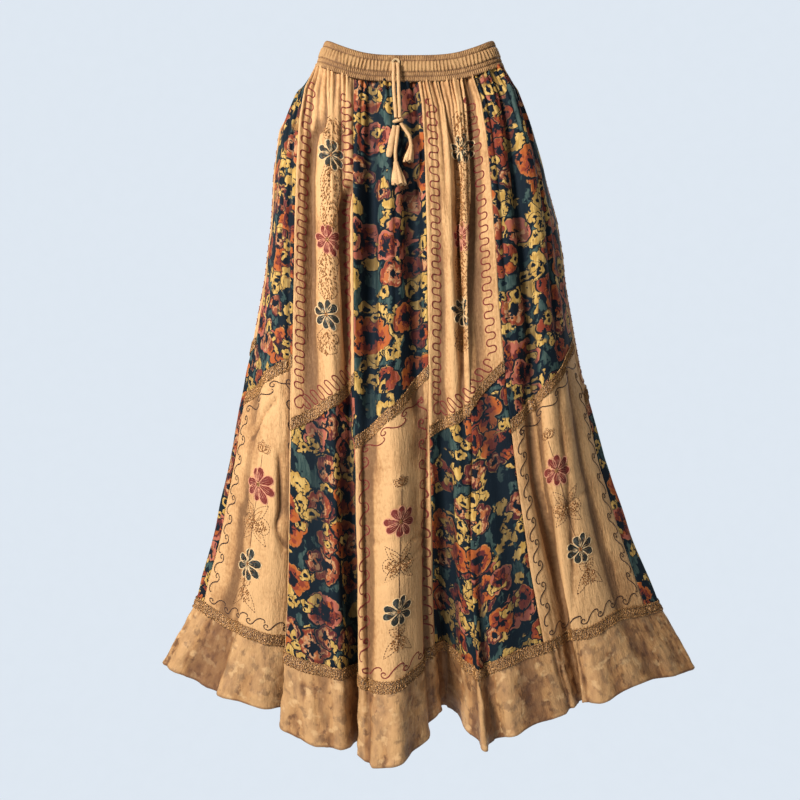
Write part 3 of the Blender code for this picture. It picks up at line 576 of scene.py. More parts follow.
creases = (
    # depth, width left and right of it in fold lines, then s and t of points down the crease
    # front, above the join: soft valleys, and fold edges that fall away to one side
    (-8, 0.3, 0.13, 6.5, -0.04, 6.64, 0.07, 6.12, 0.1, 5.98, 0.14, 5.96, 0.2, 6.02, 0.28, 6, 0.42),
    (-10.5, 0.08, 0.6, 8.85, -0.05, 8.78, 0.08, 8.66, 0.13, 8.22, 0.16, 7.74, 0.19, 7.7, 0.25, 7.9, 0.42),
    (-4, 0.28, 0.28, 7.25, -0.04, 7.1, 0.08, 7, 0.2),
    (-10.5, 0.3, 0.24, 10.04, -0.05, 10.08, 0.2, 10.05, 0.5),
    (-3, 0.09, 0.18, 11.16, 0.06, 11.12, 0.32, 11, 0.52),
    (-8, 0.36, 0.28, 12.85, -0.04, 12.22, 0.128, 12.08, 0.25, 12.1, 0.5),
    (-4.5, 0.25, 0.3, 11.7, -0.05, 11.75, 0.12, 11.6, 0.3), (-2.5, 0.3, 0.3, 14.6, -0.04, 14.7, 0.2),
    (-8, 0.12, 0.14, 15.2, -0.04, 15.4, 0.06, 16.16, 0.12, 16.2, 0.18, 15.95, 0.22, 16.15, 0.3, 16.1, 0.44),
    (-10, 0.08, 0.48, 17.96, -0.05, 17.94, 0.1, 17.9, 0.18, 17.46, 0.24, 17.18, 0.32, 17.1, 0.46),
    (-4, 0.3, 0.3, 19.7, -0.04, 19.6, 0.2, 19.6, 0.44),
    (-9.5, 0.26, 0.34, 20.95, -0.04, 20.88, 0.2, 20.98, 0.35, 21, 0.5),
    (-7, 0.34, 0.34, 22.92, -0.04, 23.08, 0.204, 23.12, 0.45), (-5, 0.35, 0.35, 24, -0.03, 24.1, 0.36),
    (-6, 0.4, 0.4, 2.8, -0.04, 2.5, 0.2, 2.4, 0.45), (-4, 0.35, 0.35, 4, -0.04, 3.9, 0.2, 3.9, 0.42),
    # front, below the join
    (-9, 0.09, 0.4, 9.6, 0.52, 9.6, 0.748, 9.64, 0.896, 9.68, 1.06),
    (-8.5, 0.34, 0.16, 12.9, 0.44, 12.7, 0.56, 12.56, 0.7, 12.5, 0.86, 12.5, 1.06),
    (-7.5, 0.34, 0.34, 17.2, 0.38, 16.6, 0.588, 15.96, 0.74, 15.48, 0.916, 15.3, 1.04),
    (-4.5, 0.35, 0.35, 14.4, 0.5, 14.6, 0.75, 14.8, 1.04),
    (-9, 0.6, 0.08, 20.68, 0.44, 20.52, 0.592, 20.72, 0.68, 21.32, 0.78, 21.96, 0.86, 22.1, 1.02),
    (-6.5, 0.09, 0.22, 3.1, 0.585, 3.18, 0.62, 3.28, 0.676, 3.12, 0.708, 3.5, 0.74),
    (-5.5, 0.28, 0.3, 4.3, 0.46, 4.5, 0.75, 4.5, 1.04), (-4.6, 0.16, 0.3, 3, 0.5, 1.8, 0.546, 0.7, 0.585),
    (-4, 0.3, 0.3, 1.8, 0.56, 1.7, 0.8, 1.5, 1.04), (-5, 0.36, 0.4, 6.3, 0.5, 6.3, 0.98),
    (-6, 0.36, 0.36, 7.4, 0.48, 7.5, 0.75, 7.4, 1.02), (-5, 0.3, 0.3, 8.6, 0.52, 8.7, 0.8, 8.6, 1.04),
    (3.4, 0.45, 0.45, 10.6, 0.74, 10.9, 1), (-6, 0.3, 0.3, 18.3, 0.46, 18.5, 0.75, 18.4, 1.04),
    (-5, 0.3, 0.3, 23.9, 0.46, 24.1, 0.75, 24.3, 1.02), (2.4, 0.6, 0.6, 11.2, 0.46, 11.3, 0.8),
    (-4, 0.25, 0.25, 22.9, 0.48, 22.9, 0.7, 22.4, 0.86), (-5.5, 0.3, 0.3, 22.4, 0.86, 22.3, 1.05),
    # round the sides and the back
    (-5, 0.4, 0.4, 27.6, -0.04, 27.4, 0.2, 27.3, 0.5),
    (-7.5, 0.1, 0.55, 29.2, -0.04, 29.3, 0.2, 29.4, 0.42), (-6, 0.4, 0.35, 31.4, -0.04, 31.2, 0.46),
    (-5, 0.35, 0.35, 33.1, -0.02, 33.3, 0.36), (-7.5, 0.45, 0.45, 36.2, -0.04, 36, 0.25, 35.9, 0.5),
    (-6, 0.4, 0.35, 38.4, -0.04, 38.5, 0.2, 38.6, 0.44),
    (-8, 0.55, 0.1, 41.3, -0.04, 41.2, 0.22, 41.1, 0.46), (-5, 0.4, 0.4, 43.6, -0.02, 43.4, 0.36),
    (-6.5, 0.4, 0.35, 46.2, -0.04, 46.3, 0.25, 46.5, 0.5), (-5, 0.35, 0.35, 48.3, -0.04, 48.1, 0.44),
    (3, 0.25, 0.3, 34.6, -0.04, 34.5, 0.3), (3, 0.3, 0.25, 44.5, -0.04, 44.6, 0.3),
    (-4.5, 0.35, 0.3, 28.5, 0.5, 28.6, 1.02), (-7, 0.1, 0.5, 32.6, 0.48, 32.5, 0.75, 32.3, 1.04),
    (-4.5, 0.3, 0.3, 37.5, 0.52, 37.6, 0.96), (-7, 0.5, 0.1, 42.4, 0.46, 42.5, 0.75, 42.6, 1.04),
    (-5, 0.35, 0.35, 47.4, 0.48, 47.3, 1), (-3, 0.2, 0.2, 40.2, 0.6, 40.9, 0.84),
)
pulls = (
    # short cross creases: s and t of both ends, depth and width in millimetres
    (9.8, 0.668, 12.6, 0.69, -1.8, 4), (10.6, 0.716, 12.7, 0.696, -2, 4), (10, 0.736, 12.6, 0.722, -1.6, 4),
    (20.9, 0.68, 24.6, 0.676, -1.8, 5), (0.4, 0.7, 3, 0.712, -1.2, 4), (5.5, 0.56, 8.4, 0.572, -1.2, 5),
    (14, 0.64, 17, 0.628, -1.2, 5), (35.4, 0.6, 38.8, 0.616, -1.4, 5), (40.6, 0.7, 44.2, 0.688, -1.4, 5),
    (30.4, 0.56, 33.4, 0.57, -1.2, 5),
)
seamGroove = {"depth": 0.7, "width": 0.07}
# depths of the gathers under the waist, and how far down they fade, in millimetres
gatherLook = {"broad": 1.7, "narrow": 1.8, "fine": 1.3, "reach": 46.0, "reachMore": 60.0, "fineReach": 22.0}
frillWave = {"hem": 2.6, "head": 1.9, "headReach": 26.0, "headAbove": 5.0, "rumple": 1.1}
unevenness = {"broad": 1.1, "fine": 0.6, "pullWander": 2.5}


def bendLine(points, count=8):  # a smooth line through a few points
    points, steps = np.array(points, float), np.arange(count) / count
    padded = np.concatenate([[2 * points[0] - points[1]], points, [2 * points[-1] - points[-2]]])
    fine = [between(*padded[i - 1 : i + 3], f) for i in range(1, len(padded) - 2) for f in steps]
    return np.array(fine + [points[-1]])


creaseLines = [(bendLine(np.reshape(row[3:], (-1, 2))), *row[:3]) for row in creases]


def relief(s, t, drop):  # how far the cloth stands out of its smooth surface
    wander = softNoise(s * 1.3, t * 9, 3)
    reach = gatherLook["reach"] + gatherLook["reachMore"] * (0.5 + 0.5 * softNoise(s * 1.1, s * 0, 5))
    fade = np.exp(drop / reach)
    size = 0.75 + 0.45 * softNoise(s * 0.9, t * 5, 19)
    out = gatherLook["broad"] * size * fade * np.cos(fullTurn * (s + 0.16 * wander))
    out = out + gatherLook["narrow"] * fade * np.cos(fullTurn * (2.37 * s + 0.22 * wander))
    fade = np.exp(drop / gatherLook["fineReach"])
    out = out + gatherLook["fine"] * fade * np.cos(fullTurn * (3.1 * s + 0.3 * wander))
    low = np.clip((t - frillAt) / (1 - frillAt), 0, 1)
    out = out + frillWave["hem"] * low * np.cos(fullTurn * s)
    below = (t - frillAt) * clothLength
    head = np.exp(np.where(t > frillAt, -below / frillWave["headReach"], below / frillWave["headAbove"]))
    out = out + frillWave["head"] * head * softNoise(s * 3.4, t * 20, 7)
    rumple = softNoise(s * 4.7, t * 58, 14) + 0.5 * softNoise(s * 9.5, t * 110, 15)
    out = out + frillWave["rumple"] * np.clip(low * 6, 0, 1) * rumple
    for line, depth, left, right in creaseLines:
        f = (t - line[0, 1]) / (line[-1, 1] - line[0, 1])
        off = fromLine(s, np.interp(t, line[:, 1], line[:, 0]))
        width = np.where(off < 0, left, right)
        length = np.clip(f, 0, 1) * np.clip(1 - f, 0, 1) * 4
        out = out + depth * np.exp(-np.abs(off / width) ** 1.7) * length**0.5
    for top, topT, end, endT, depth, width in pulls:
        f = np.clip((s - top) / (end - top), 0, 1)
        off = (t - (topT + (endT - topT) * f)) * clothLength
        off = off + unevenness["pullWander"] * softNoise(s * 2.1, t * 0, 17)
        out = out + depth * np.exp(-(off / width) ** 2) * (f * (1 - f) * 4) ** 0.5
    for seam in seams[:-1]:
        out = out - seamGroove["depth"] * np.exp(-(fromLine(s, seam) / seamGroove["width"]) ** 2)
    out = out + unevenness["broad"] * softNoise(s * 1.7, t * 14, 9)
    return out + unevenness["fine"] * softNoise(s * 3.9, t * 31, 12)


def clothPoints(s, t):
    s, t = np.broadcast_arrays(np.asarray(s, float), np.asarray(t, float))
    points = smoothCloth(s, t)
    ds, dt = 0.03, 0.003  # small steps to find the slopes
    across = smoothCloth(s + ds, t) - smoothCloth(s - ds, t)
    down = smoothCloth(s, np.minimum(t + dt, 1)) - smoothCloth(s, np.maximum(t - dt, 0))
    drop = points[..., 2] - through(waistLine, s)[..., 2]
    return points + unit(np.cross(down, across)) * relief(s, t, drop)[..., None]


def clothAndNormal(s, t):
    s, t = np.broadcast_arrays(np.asarray(s, float), np.asarray(t, float))
    ds, dt = 0.03, 0.0015
    across = clothPoints(s + ds, t) - clothPoints(s - ds, t)
    down = clothPoints(s, t + dt) - clothPoints(s, t - dt)
    return clothPoints(s, t), unit(np.cross(down, across))


# The slanted join, by distance round the skirt at mid height
ringS = np.arange(0, foldCount + 0.06, 0.125)
ringAlong = distances(smoothCloth(ringS, np.full(len(ringS), 0.5)))


def joinHeight(gore, s):
    at = np.interp(s, ringS, ringAlong)
    first, last = np.interp([seams[gore], seams[gore + 1]], ringS, ringAlong)
    return joinLeft + (joinRight - joinLeft) * (at - first) / (last - first)


class FlatGore:  # a gore laid flat: u across from its middle, v down from the waist, in millimetres
    def __init__(self, k):
        self.s = np.linspace(seams[k], seams[k + 1], 8 * (seams[k + 1] - seams[k]) + 1)
        self.t = np.linspace(0, 1, 81)
        grid = smoothCloth(*np.meshgrid(self.s, self.t))
        steps = np.linalg.norm(np.diff(grid, axis=1), axis=2)
        arc = np.concatenate([np.zeros((len(self.t), 1)), np.cumsum(steps, axis=1)], axis=1)
        self.arc = arc - arc[:, -1:] / 2
        middle = grid[:, len(self.s) // 2]
        self.length = stepLengths(middle).sum()

    def half(self, v):  # half the width at v
        return np.interp(np.asarray(v) / self.length, self.t, self.arc[:, -1])

    def rowArc(self, t):
        at = np.clip(t, 0, 0.99999) * (len(self.t) - 1)
        i = at.astype(int)
        f = (at - i)[:, None]
        return self.arc[i] * (1 - f) + self.arc[i + 1] * f

    def toFlat(self, s, t):
        s, t = np.broadcast_arrays(s, t)
        rows = self.rowArc(t.ravel())
        at = (s.ravel() - self.s[0]) / (self.s[1] - self.s[0])
        i = np.clip(at.astype(int), 0, len(self.s) - 2)
        f = at - i
        pick = np.arange(len(i))
        u = rows[pick, i] * (1 - f) + rows[pick, i + 1] * f
        return np.stack([u.reshape(s.shape), t * self.length], axis=-1)

    def toCloth(self, flat):  # s and t of flat points
        t = flat[:, 1] / self.length
        rows = self.rowArc(t)
        i = np.clip((rows < flat[:, :1]).sum(axis=1) - 1, 0, len(self.s) - 2)
        pick = np.arange(len(i))
        low, high = rows[pick, i], rows[pick, i + 1]
        return self.s[0] + (i + (flat[:, 0] - low) / (high - low)) * (self.s[1] - self.s[0]), t

    def joinV(self, u):  # v of the slanted join at u
        halfWide = self.half(0.48 * self.length)
        share = (np.asarray(u) + halfWide) / (2 * halfWide)
        return (joinLeft + (joinRight - joinLeft) * share) * self.length


flats = [FlatGore(k) for k in range(len(goreTable))]
print("cloth surface ready")

# meshes


def addPiece(name, points, faces, material, slotName, replaced=(), **attributes):
    mesh = bpy.data.meshes.new(name)
    mesh.from_pydata((np.asarray(points) * mm).tolist(), [], getattr(faces, "tolist", lambda: faces)())
    for key, values in attributes.items():
        layer = mesh.attributes.new(key, "FLOAT_VECTOR", "POINT")
        layer.data.foreach_set("vector", np.asarray(values, float).ravel())
    mesh.shade_smooth()
    mesh.materials.append(material)
    piece = bpy.data.objects.new(name, mesh)
    bpy.context.scene.collection.objects.link(piece)
    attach(piece, body)
    if replaced:
        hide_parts(*replaced)
    return piece


def gridFaces(number, turned=False):  # number is a grid of point numbers, rows from top to bottom
    a, b = number[:-1, :-1].ravel(), number[1:, :-1].ravel()
    c, d = number[1:, 1:].ravel(), number[:-1, 1:].ravel()
    faces = np.stack([a, b, c, d], axis=1)
    return faces[:, ::-1] if turned else faces


def ringNumbers(rings, around, first=0):  # point numbers of closed rings, as a grid
    number = first + np.arange(rings * around).reshape(rings, around)
    return np.concatenate([number, number[:, :1]], axis=1)


def shell(middle, normal, thickness, lift=0.0):  # a thin closed wall of cloth along a grid of points
    rows, columns = middle.shape[:2]
    number = np.arange(2 * rows * columns).reshape(2, rows, columns)
    rims = [
        gridFaces(np.stack([number[1, 0], number[0, 0]])),
        gridFaces(np.stack([number[0, -1], number[1, -1]])),
        gridFaces(np.stack([number[1, :, 0], number[0, :, 0]], axis=1)),
        gridFaces(np.stack([number[0, :, -1], number[1, :, -1]], axis=1)),
    ]
    faces = np.concatenate([gridFaces(number[0]), gridFaces(number[1], True), *rims])
    sides = [middle + normal * (lift + half) for half in (thickness / 2, -thickness / 2)]
    return np.concatenate([side.reshape(-1, 3) for side in sides]), faces


def bothSides(values):  # the same values for a wall's outer and inner points
    return np.concatenate([values.reshape(-1, 3)] * 2)


def declareSheet(grid):  # measured on its grid: widest row, longest column and area
    across = np.linalg.norm(np.diff(grid, axis=1), axis=2)
    down = np.linalg.norm(np.diff(grid, axis=0), axis=2)
    a, b = grid[1:, 1:] - grid[:-1, :-1], grid[1:, :-1] - grid[:-1, 1:]
    area = np.linalg.norm(np.cross(a, b), axis=2).sum() / 2 * mm * mm
    width, length = across.sum(axis=1).max() * mm, down.sum(axis=0).max() * mm


standOut = {"steps": (-7, -3, 3, 7), "full": 2.2}  # the columns to compare with, and what counts as 1


def standing(points, normal):  # how far cloth stands out, from -1 in a valley to 1 on a ridge; it sets the painted light and shade on the folds
    most, count = max(standOut["steps"]), points.shape[1]
    wide = np.pad(points, ((0, 0), (most, most), (0, 0)), mode="edge")
    around = sum(wide[:, most + step : most + step + count] for step in standOut["steps"]) / 4
    value = np.clip(((points - around) * normal).sum(axis=2) / standOut["full"], -1, 1).ravel()
    return np.repeat(np.tile(value, 2)[:, None], 3, axis=1)


panelMesh = {
    "columns": 12,  # from one fold line to the next
    "rows": 84, "backRows": 62, "nearTop": 1.35,  # rows lie closer together at the waist
    "thickness": 0.9, "overlap": 0.002,  # under the band and the frill, as a share of the length
    "apart": 413.0,  # from gore to gore on the flat cloth, so that no two show the same flowers
}


def addPanel(name, k, topT, bottomT, rows, material, slotName, nearTop=1.0):
    s = np.linspace(seams[k], seams[k + 1], panelMesh["columns"] * (seams[k + 1] - seams[k]) + 1)
    share = np.linspace(0, 1, rows) ** nearTop
    t = topT(s)[None, :] + (bottomT(s) - topT(s))[None, :] * share[:, None]
    grid = np.broadcast_to(s, t.shape)
    middle, normal = clothAndNormal(grid, t)
    points, faces = shell(middle, normal, panelMesh["thickness"])
    flat = flats[k].toFlat(grid, np.clip(t, 0, 1))
    place = np.concatenate([flat, np.full((*t.shape, 1), k * 7.0)], axis=-1)
    place[..., 0] += k * panelMesh["apart"]
    look = {"cloth": bothSides(place), "wear": standing(middle, normal)}
    piece = addPiece(f"{name}_crepe", points, faces, material, slotName, (name,), **look)
    declareSheet(middle)


clothOf = {"tan": (tanCloth, "tan_cloth"), "print": (printCloth, "print_cloth")}
for k, (name, upper, _) in enumerate(goreTable):
    lower = "print" if upper == "tan" else "tan"
    top = lambda s: np.full(len(s), -panelMesh["overlap"])
    middle = lambda s, k=k: joinHeight(k, s)
    bottom = lambda s: np.full(len(s), frillAt + panelMesh["overlap"])
    rows = panelMesh["rows"] if k < 5 else panelMesh["backRows"]
    addPanel(f"{name}_upper", k, top, middle, rows, *clothOf[upper], panelMesh["nearTop"])
    addPanel(f"{name}_lower", k, middle, bottom, rows, *clothOf[lower])
print("gore panels made")

# frill

frillMesh = {
    "columns": 12, "rows": 34, "hemRows": [0.9955, 0.9975, 0.999],  # t of the rows at the rolled hem
    "thickness": 0.9, "hemThickness": 1.9, "hemRoll": 0.004,
}


def addFrill(name, first, last):
    s = np.linspace(first, last, frillMesh["columns"] * (last - first) + 1)
    t = np.linspace(frillAt - 0.001, 1.0, frillMesh["rows"])
    t = np.sort(np.concatenate([t, frillMesh["hemRows"]]))
    grid, rowT = np.meshgrid(s, t)
    middle, normal = clothAndNormal(grid, rowT)
    roll = np.clip((rowT - (1 - 2 * frillMesh["hemRoll"])) / frillMesh["hemRoll"], 0, 1)
    thickness = frillMesh["thickness"] + (frillMesh["hemThickness"] - frillMesh["thickness"]) * roll
    thickness = thickness * np.where(rowT >= 1.0, 0.5, 1.0)  # the edge is rounded
    points, faces = shell(middle, normal, thickness[..., None])
    along = distances(smoothCloth(s, np.full(len(s), 0.95)))
    look = {"cloth": bothSides(rows3(along, rowT * clothLength, 3.0)), "wear": standing(middle, normal)}
    piece = addPiece(f"{name}_crepe", points, faces, frillCloth, "frill_cloth", (name,), **look)
    declareSheet(middle)


rightTurn = len(frontFolds) - 1
halves = {"front": (-1, rightTurn), "back": (rightTurn, foldCount - 1)}
for side, ends in halves.items():
    addFrill(f"frill_{side}", *ends)
print("frill made")

# threads sewn on the cloth

threadStep = 1.5
petalShares = np.array([0.0, 0.14, 0.34, 0.58, 0.80, 0.94, 1.0])  # rows of a petal, from its foot
petalWidths = 0.50, 0.80, 1.0, 0.92, 0.60  # of all but the first and last row


class Stitching:  # threads of one colour, kept flat until they are laid on the cloth
    def __init__(self):
        self.flat, self.lift, self.stitch, self.faces, self.count = [], [], [], [], 0

    def seed(self):  # a value from 0 to 1 that differs from stitch to stitch
        return self.count * 0.618 % 1.0

    def add(self, flat, lift, stitch, faces):
        self.flat.append(np.asarray(flat, float).reshape(-1, 2))
        self.lift.append(np.asarray(lift, float).ravel())
        self.stitch.append(np.asarray(stitch, float).reshape(-1, 3))
        self.faces.append(np.asarray(faces) + self.count)
        self.count += len(self.flat[-1])

    def thread(self, path, width=1.7, height=0.75, step=threadStep):
        long = distances(path)[-1]
        at = np.linspace(0, long, max(3, round(long / step) + 1))
        path = pointsAt(path, at)
        side = unit(np.gradient(path, axis=0))[:, ::-1] * (-1, 1) * width / 2
        taper = np.minimum(1, np.minimum(np.arange(len(at)), np.arange(len(at))[::-1]) + 0.15)
        flat = np.stack([path + side * taper[:, None], path, path - side * taper[:, None]], axis=1)
        edge = np.full(len(at), -0.15)
        lift = np.stack([edge, height * taper, edge], axis=1)
        stitch = rows3(at[:, None], np.array([-1.0, 0.0, 1.0]), self.seed())
        self.add(flat, lift, stitch, gridFaces(np.arange(len(at) * 3).reshape(-1, 3)))

    def dashes(self, path, dash=3.4, gap=1.3, width=1.2, height=0.6):
        long = distances(path)[-1]
        for start in np.arange(0, long - dash * 0.6, dash + gap):
            at = np.linspace(start, min(start + dash, long), 4)
            self.thread(pointsAt(path, at), width, height, dash / 3)

    def petal(self, centre, angle, first, last, width, height=0.9):  # a petal filled with satin stitch
        shares = petalShares
        wide = np.array([0.16, *petalWidths, 0.14]) * width / 2
        across = np.linspace(-1.0, 1.0, 5)
        along = first + (last - first) * shares
        u, v = np.broadcast_arrays(along[:, None], wide[:, None] * across)
        c, s = math.cos(angle), math.sin(angle)
        flat = np.stack([centre[0] + u * c - v * s, centre[1] + u * s + v * c], axis=-1)
        crown = np.sin(np.pi * np.clip(shares, 0.06, 0.94))[:, None] ** 0.5
        lift = height * (1 - np.abs(across) ** 2.0)[None, :] * crown - 0.12
        stitch = rows3(u + np.abs(v) * 0.7, across, self.seed())
        self.add(flat, lift, stitch, gridFaces(np.arange(u.size).reshape(u.shape), True))

    def dot(self, centre, radius, height=0.9):  # a small knot of thread
        i = np.arange(6)
        j = (i + 1) % 6
        angle = i * math.pi / 3
        ring = np.stack([np.cos(angle), np.sin(angle)], axis=1)
        middle = np.asarray(centre)
        flat = np.concatenate([middle + radius * ring, middle + 0.5 * radius * ring, [centre]])
        lift = np.concatenate([np.full(6, -0.12), np.full(6, 0.8 * height), [height]])
        quads = np.stack([i, i + 6, j + 6, j], axis=1)
        caps = np.stack([i + 6, np.full(6, 12), j + 6, j + 6], axis=1)
        stitch = np.stack([flat[:, 0], flat[:, 1], flat[:, 0] * 0 + self.seed()], axis=1)
        self.add(flat, lift, stitch, np.concatenate([quads, caps]))

    def lay(self, name, toCloth, material, slotName="thread", raised=0.0):
        flat, lift = np.concatenate(self.flat), np.concatenate(self.lift)
        points, normal = clothAndNormal(*toCloth(flat))
        points = points + normal * (panelMesh["thickness"] / 2 + lift + raised)[:, None]
        faces = [list(dict.fromkeys(face)) for face in np.concatenate(self.faces).tolist()]
        addPiece(name, points, faces, material, slotName, stitch=np.concatenate(self.stitch))


def alongLine(path, at, off):  # points beside a line
    path, along = np.asarray(path, float), distances(path)
    slope = unit(np.stack([np.interp(at, along, np.gradient(path[:, i], along)) for i in (0, 1)], axis=1))
    return pointsAt(path, at) + slope[:, ::-1] * (-1, 1) * np.asarray(off)[:, None]


def serpentine(path, pitch, height, overhang=0.8):  # a line that winds to and fro across a path
    at = np.arange(0, stepLengths(path).sum(), 0.8)
    phase = fullTurn * at / pitch + 0.6 * np.sin(at / 31.0)
    return alongLine(path, at - overhang * 0.12 * pitch * np.sin(2 * phase), height / 2 * np.sin(phase))


# lace

laceMesh = {
    "step": 1.6, "rows": 10, "thickness": 0.5, "lift": 1.1, "crinkle": 0.55,
    "scallop": 0.14, "scallopPitch": 5.2,
    "half": 0.0092, "hemHalf": 0.0088, "aboveFrill": 0.0073,  # shares of the cloth's length
}


def addLace(name, first, last, middleT, halfT, flatShift):
    fine = np.linspace(first, last, 1 + 40 * (last - first))
    along = distances(smoothCloth(fine, middleT(fine)))
    columns = int(along[-1] / laceMesh["step"]) + 1
    at = np.linspace(0, along[-1], columns)
    s = np.interp(at, along, fine)
    q = np.linspace(-1, 1, laceMesh["rows"])[:, None]
    wave = np.cos(fullTurn * at / laceMesh["scallopPitch"]) + 0.6 * softNoise(at / 3.7, at * 0, 21)
    t = middleT(s) + q * halfT * (1 + laceMesh["scallop"] * wave * np.abs(q) ** 2)
    grid = np.broadcast_to(s, t.shape)
    middle, normal = clothAndNormal(grid, t)
    crinkled = softNoise(np.broadcast_to(at, t.shape) / 2.3, q * 3.5 + at * 0, 23)
    lift = laceMesh["lift"] + laceMesh["crinkle"] * crinkled * (1 - 0.5 * np.abs(q))
    points, faces = shell(middle, normal, laceMesh["thickness"], lift[..., None])
    place = bothSides(rows3(at + flatShift, q * halfT * clothLength, 0.0))
    piece = addPiece(f"{name}_braid", points, faces, laceCloth, "lace", (name,), cloth=place)
    declareSheet(middle)
    # bright loops along both edges and a wave down the middle, in runs a little longer than their spacing
    loops, edge = Stitching(), halfT * clothLength
    for start in np.arange(0, along[-1] - 8, 120.0):
        run = [(start, 0.0), (min(start + 121, along[-1] - 2), 0.0)]
        loops.thread(serpentine(run, 6.4, edge * 1.1, 0.9), 1.1, 0.9, 1.3)
        for side in (-1, 1):
            path = np.array(run) + (0, side * edge * 0.86)
            loops.thread(serpentine(path, 4.4, 3.0, 1.1), 1.0, 0.8, 1.1)

    def toCloth(flat):
        place = np.interp(flat[:, 0], along, fine)
        return place, middleT(place) + flat[:, 1] / clothLength

    loops.lay(f"{name}_loops", toCloth, threads["lurex"], "lace", laceMesh["lift"])


for k, (name, _, _) in enumerate(goreTable):
    middleT = lambda s, k=k: joinHeight(k, s)
    addLace(f"{name}_lace", seams[k], seams[k + 1], middleT, laceMesh["half"], k * 300.0)
for side, ends in halves.items():
    middleT = lambda s: s * 0 + frillAt - laceMesh["aboveFrill"]
    addLace(f"hem_lace_{side}", *ends, middleT, laceMesh["hemHalf"], 4000.0)
print("lace made")

# waistband


def bandRow(turn, h, push):  # one ring of the band, h from 0 at its lower edge to 1 at the top
    low = roundedRing(turn, band["halfWidth"], band["halfDepth"], band["corner"])
    high = roundedRing(turn, band["topHalfWidth"], band["topHalfDepth"], band["corner"])
    x, y = (a + (b - a) * h for a, b in zip(low, high))
    z = waistHeight(*low) + band["height"] * h
    ring = np.stack([x, y, z], axis=-1)
    along = np.roll(ring, -1, axis=0) - np.roll(ring, 1, axis=0)
    out = unit(np.stack([along[:, 1], -along[:, 0], 0 * x], axis=1))
    return ring + out * np.asarray(push)[..., None]


def addBand():
    count = band["gathers"] * band["columns"]
    turn = np.arange(count) / count
    h = np.linspace(0.0, 1.0, band["rows"])[::-1]
    pulled = sum(np.exp(-((h - line) / 0.026) ** 2) for line in band["stitchLines"])
    _, low, high = band["stitchLines"]
    channel = 1 / (1 + np.exp(-(h - low) / 0.012)) / (1 + np.exp((h - high) / 0.012))  # the puffed casing
    pulled = np.clip(pulled + np.exp(-((h - 1.0) / 0.03) ** 2) * 0.7 + np.exp(-(h / 0.03) ** 2) * 0.7, 0, 1)
    rows, wearAndShade = [], []
    for i, level in enumerate(h):
        wander = softNoise(turn * 60, level * 2.5 + 0 * turn, 31, 60)
        part = int(sum(level > line for line in band["stitchLines"]))
        folds = band["gathers"] * turn
        gather = np.cos(fullTurn * (folds + 0.28 * wander)) * band["gatherDepth"]
        tight = np.cos(fullTurn * (2 * folds + 0.2 * wander + 0.37 * part)) * band["fineDepth"]
        size = 0.75 + 0.45 * softNoise(turn * 47, level * 3 + 0 * turn, 33, 47)
        puff = band["puff"] * (0.55 + 0.45 * channel[i]) * (1 - pulled[i])
        push = puff + (gather * channel[i] + tight * (1 - channel[i])) * size * (1 - 0.5 * pulled[i])
        rows.append(bandRow(turn, level, band["wall"] / 2 - 0.3 + push))
        # how far the gathers stand out, for the painted light on ridges and painted shade in valleys
        wearAndShade.append(np.clip((push - 0.7 * band["puff"]) / 1.5, -1, 1))
    outer, innerH = np.array(rows), np.array([1.0, 0.5, 0.0])
    ripple = 0.5 * np.cos(fullTurn * band["gathers"] * turn)
    inner = np.array([bandRow(turn, level, -band["wall"] / 2 + ripple) for level in innerH])
    numberOut = ringNumbers(len(outer), count)
    numberIn = ringNumbers(len(inner), count, len(outer) * count)
    faces = np.concatenate([
        gridFaces(numberOut), gridFaces(numberIn, True),
        gridFaces(np.stack([numberIn[0], numberOut[0]])), gridFaces(np.stack([numberOut[-1], numberIn[-1]])),
    ])
    place = np.concatenate([
        rows3(turn * band["girth"], h[:, None] * band["height"], 1.0),
        rows3(turn * band["girth"], innerH[:, None] * band["height"], 5.0),
    ])
    points = np.concatenate([outer.reshape(-1, 3), inner.reshape(-1, 3)])
    wear = np.repeat(np.concatenate([np.array(wearAndShade).ravel(), np.zeros(inner.size // 3)])[:, None], 3, axis=1)
    look = {"cloth": place, "wear": wear}
    piece = addPiece("waistband_crepe", points, faces, bandCloth, "tan_cloth", ("waistband",), **look)
    declareSheet(np.concatenate([outer, outer[:, :1]], axis=1))


addBand()
print("waistband made")

# drawstring

# the part's routes, in metres
cordRoutes = {
    "drawstring_upper_left": (
        (-0.0208, -0.0562, -0.0096), (-0.0212, -0.0586, -0.026), (-0.0202, -0.065, -0.052),
        (-0.0179, -0.0692, -0.0821),
    ),
    "drawstring_upper_right": (
        (-0.0156, -0.0562, -0.0096), (-0.015, -0.059, -0.026), (-0.0142, -0.0655, -0.052),
        (-0.0129, -0.0692, -0.0821),
    ),
    "drawstring_lower_middle": (
        (-0.015, -0.0695, -0.0919), (-0.0167, -0.0698, -0.107), (-0.0186, -0.0698, -0.123),
        (-0.0182, -0.0698, -0.1365),
    ),
    "drawstring_lower_right": (
        (-0.0118, -0.0696, -0.0885), (-0.005, -0.0704, -0.099), (-0.0006, -0.0708, -0.106),
        (0.0016, -0.0708, -0.1185),
    ),
}
cordSize = {"diameter": 0.0042, "around": 10, "step": 0.0012, "flat": 0.85, "folds": 0.06}


def smoothRoute(route, step):
    fine = bendLine(route, 24)
    long = distances(fine)[-1]
    at = np.linspace(0, long, max(4, round(long / step) + 1))
    return pointsAt(fine, at), at


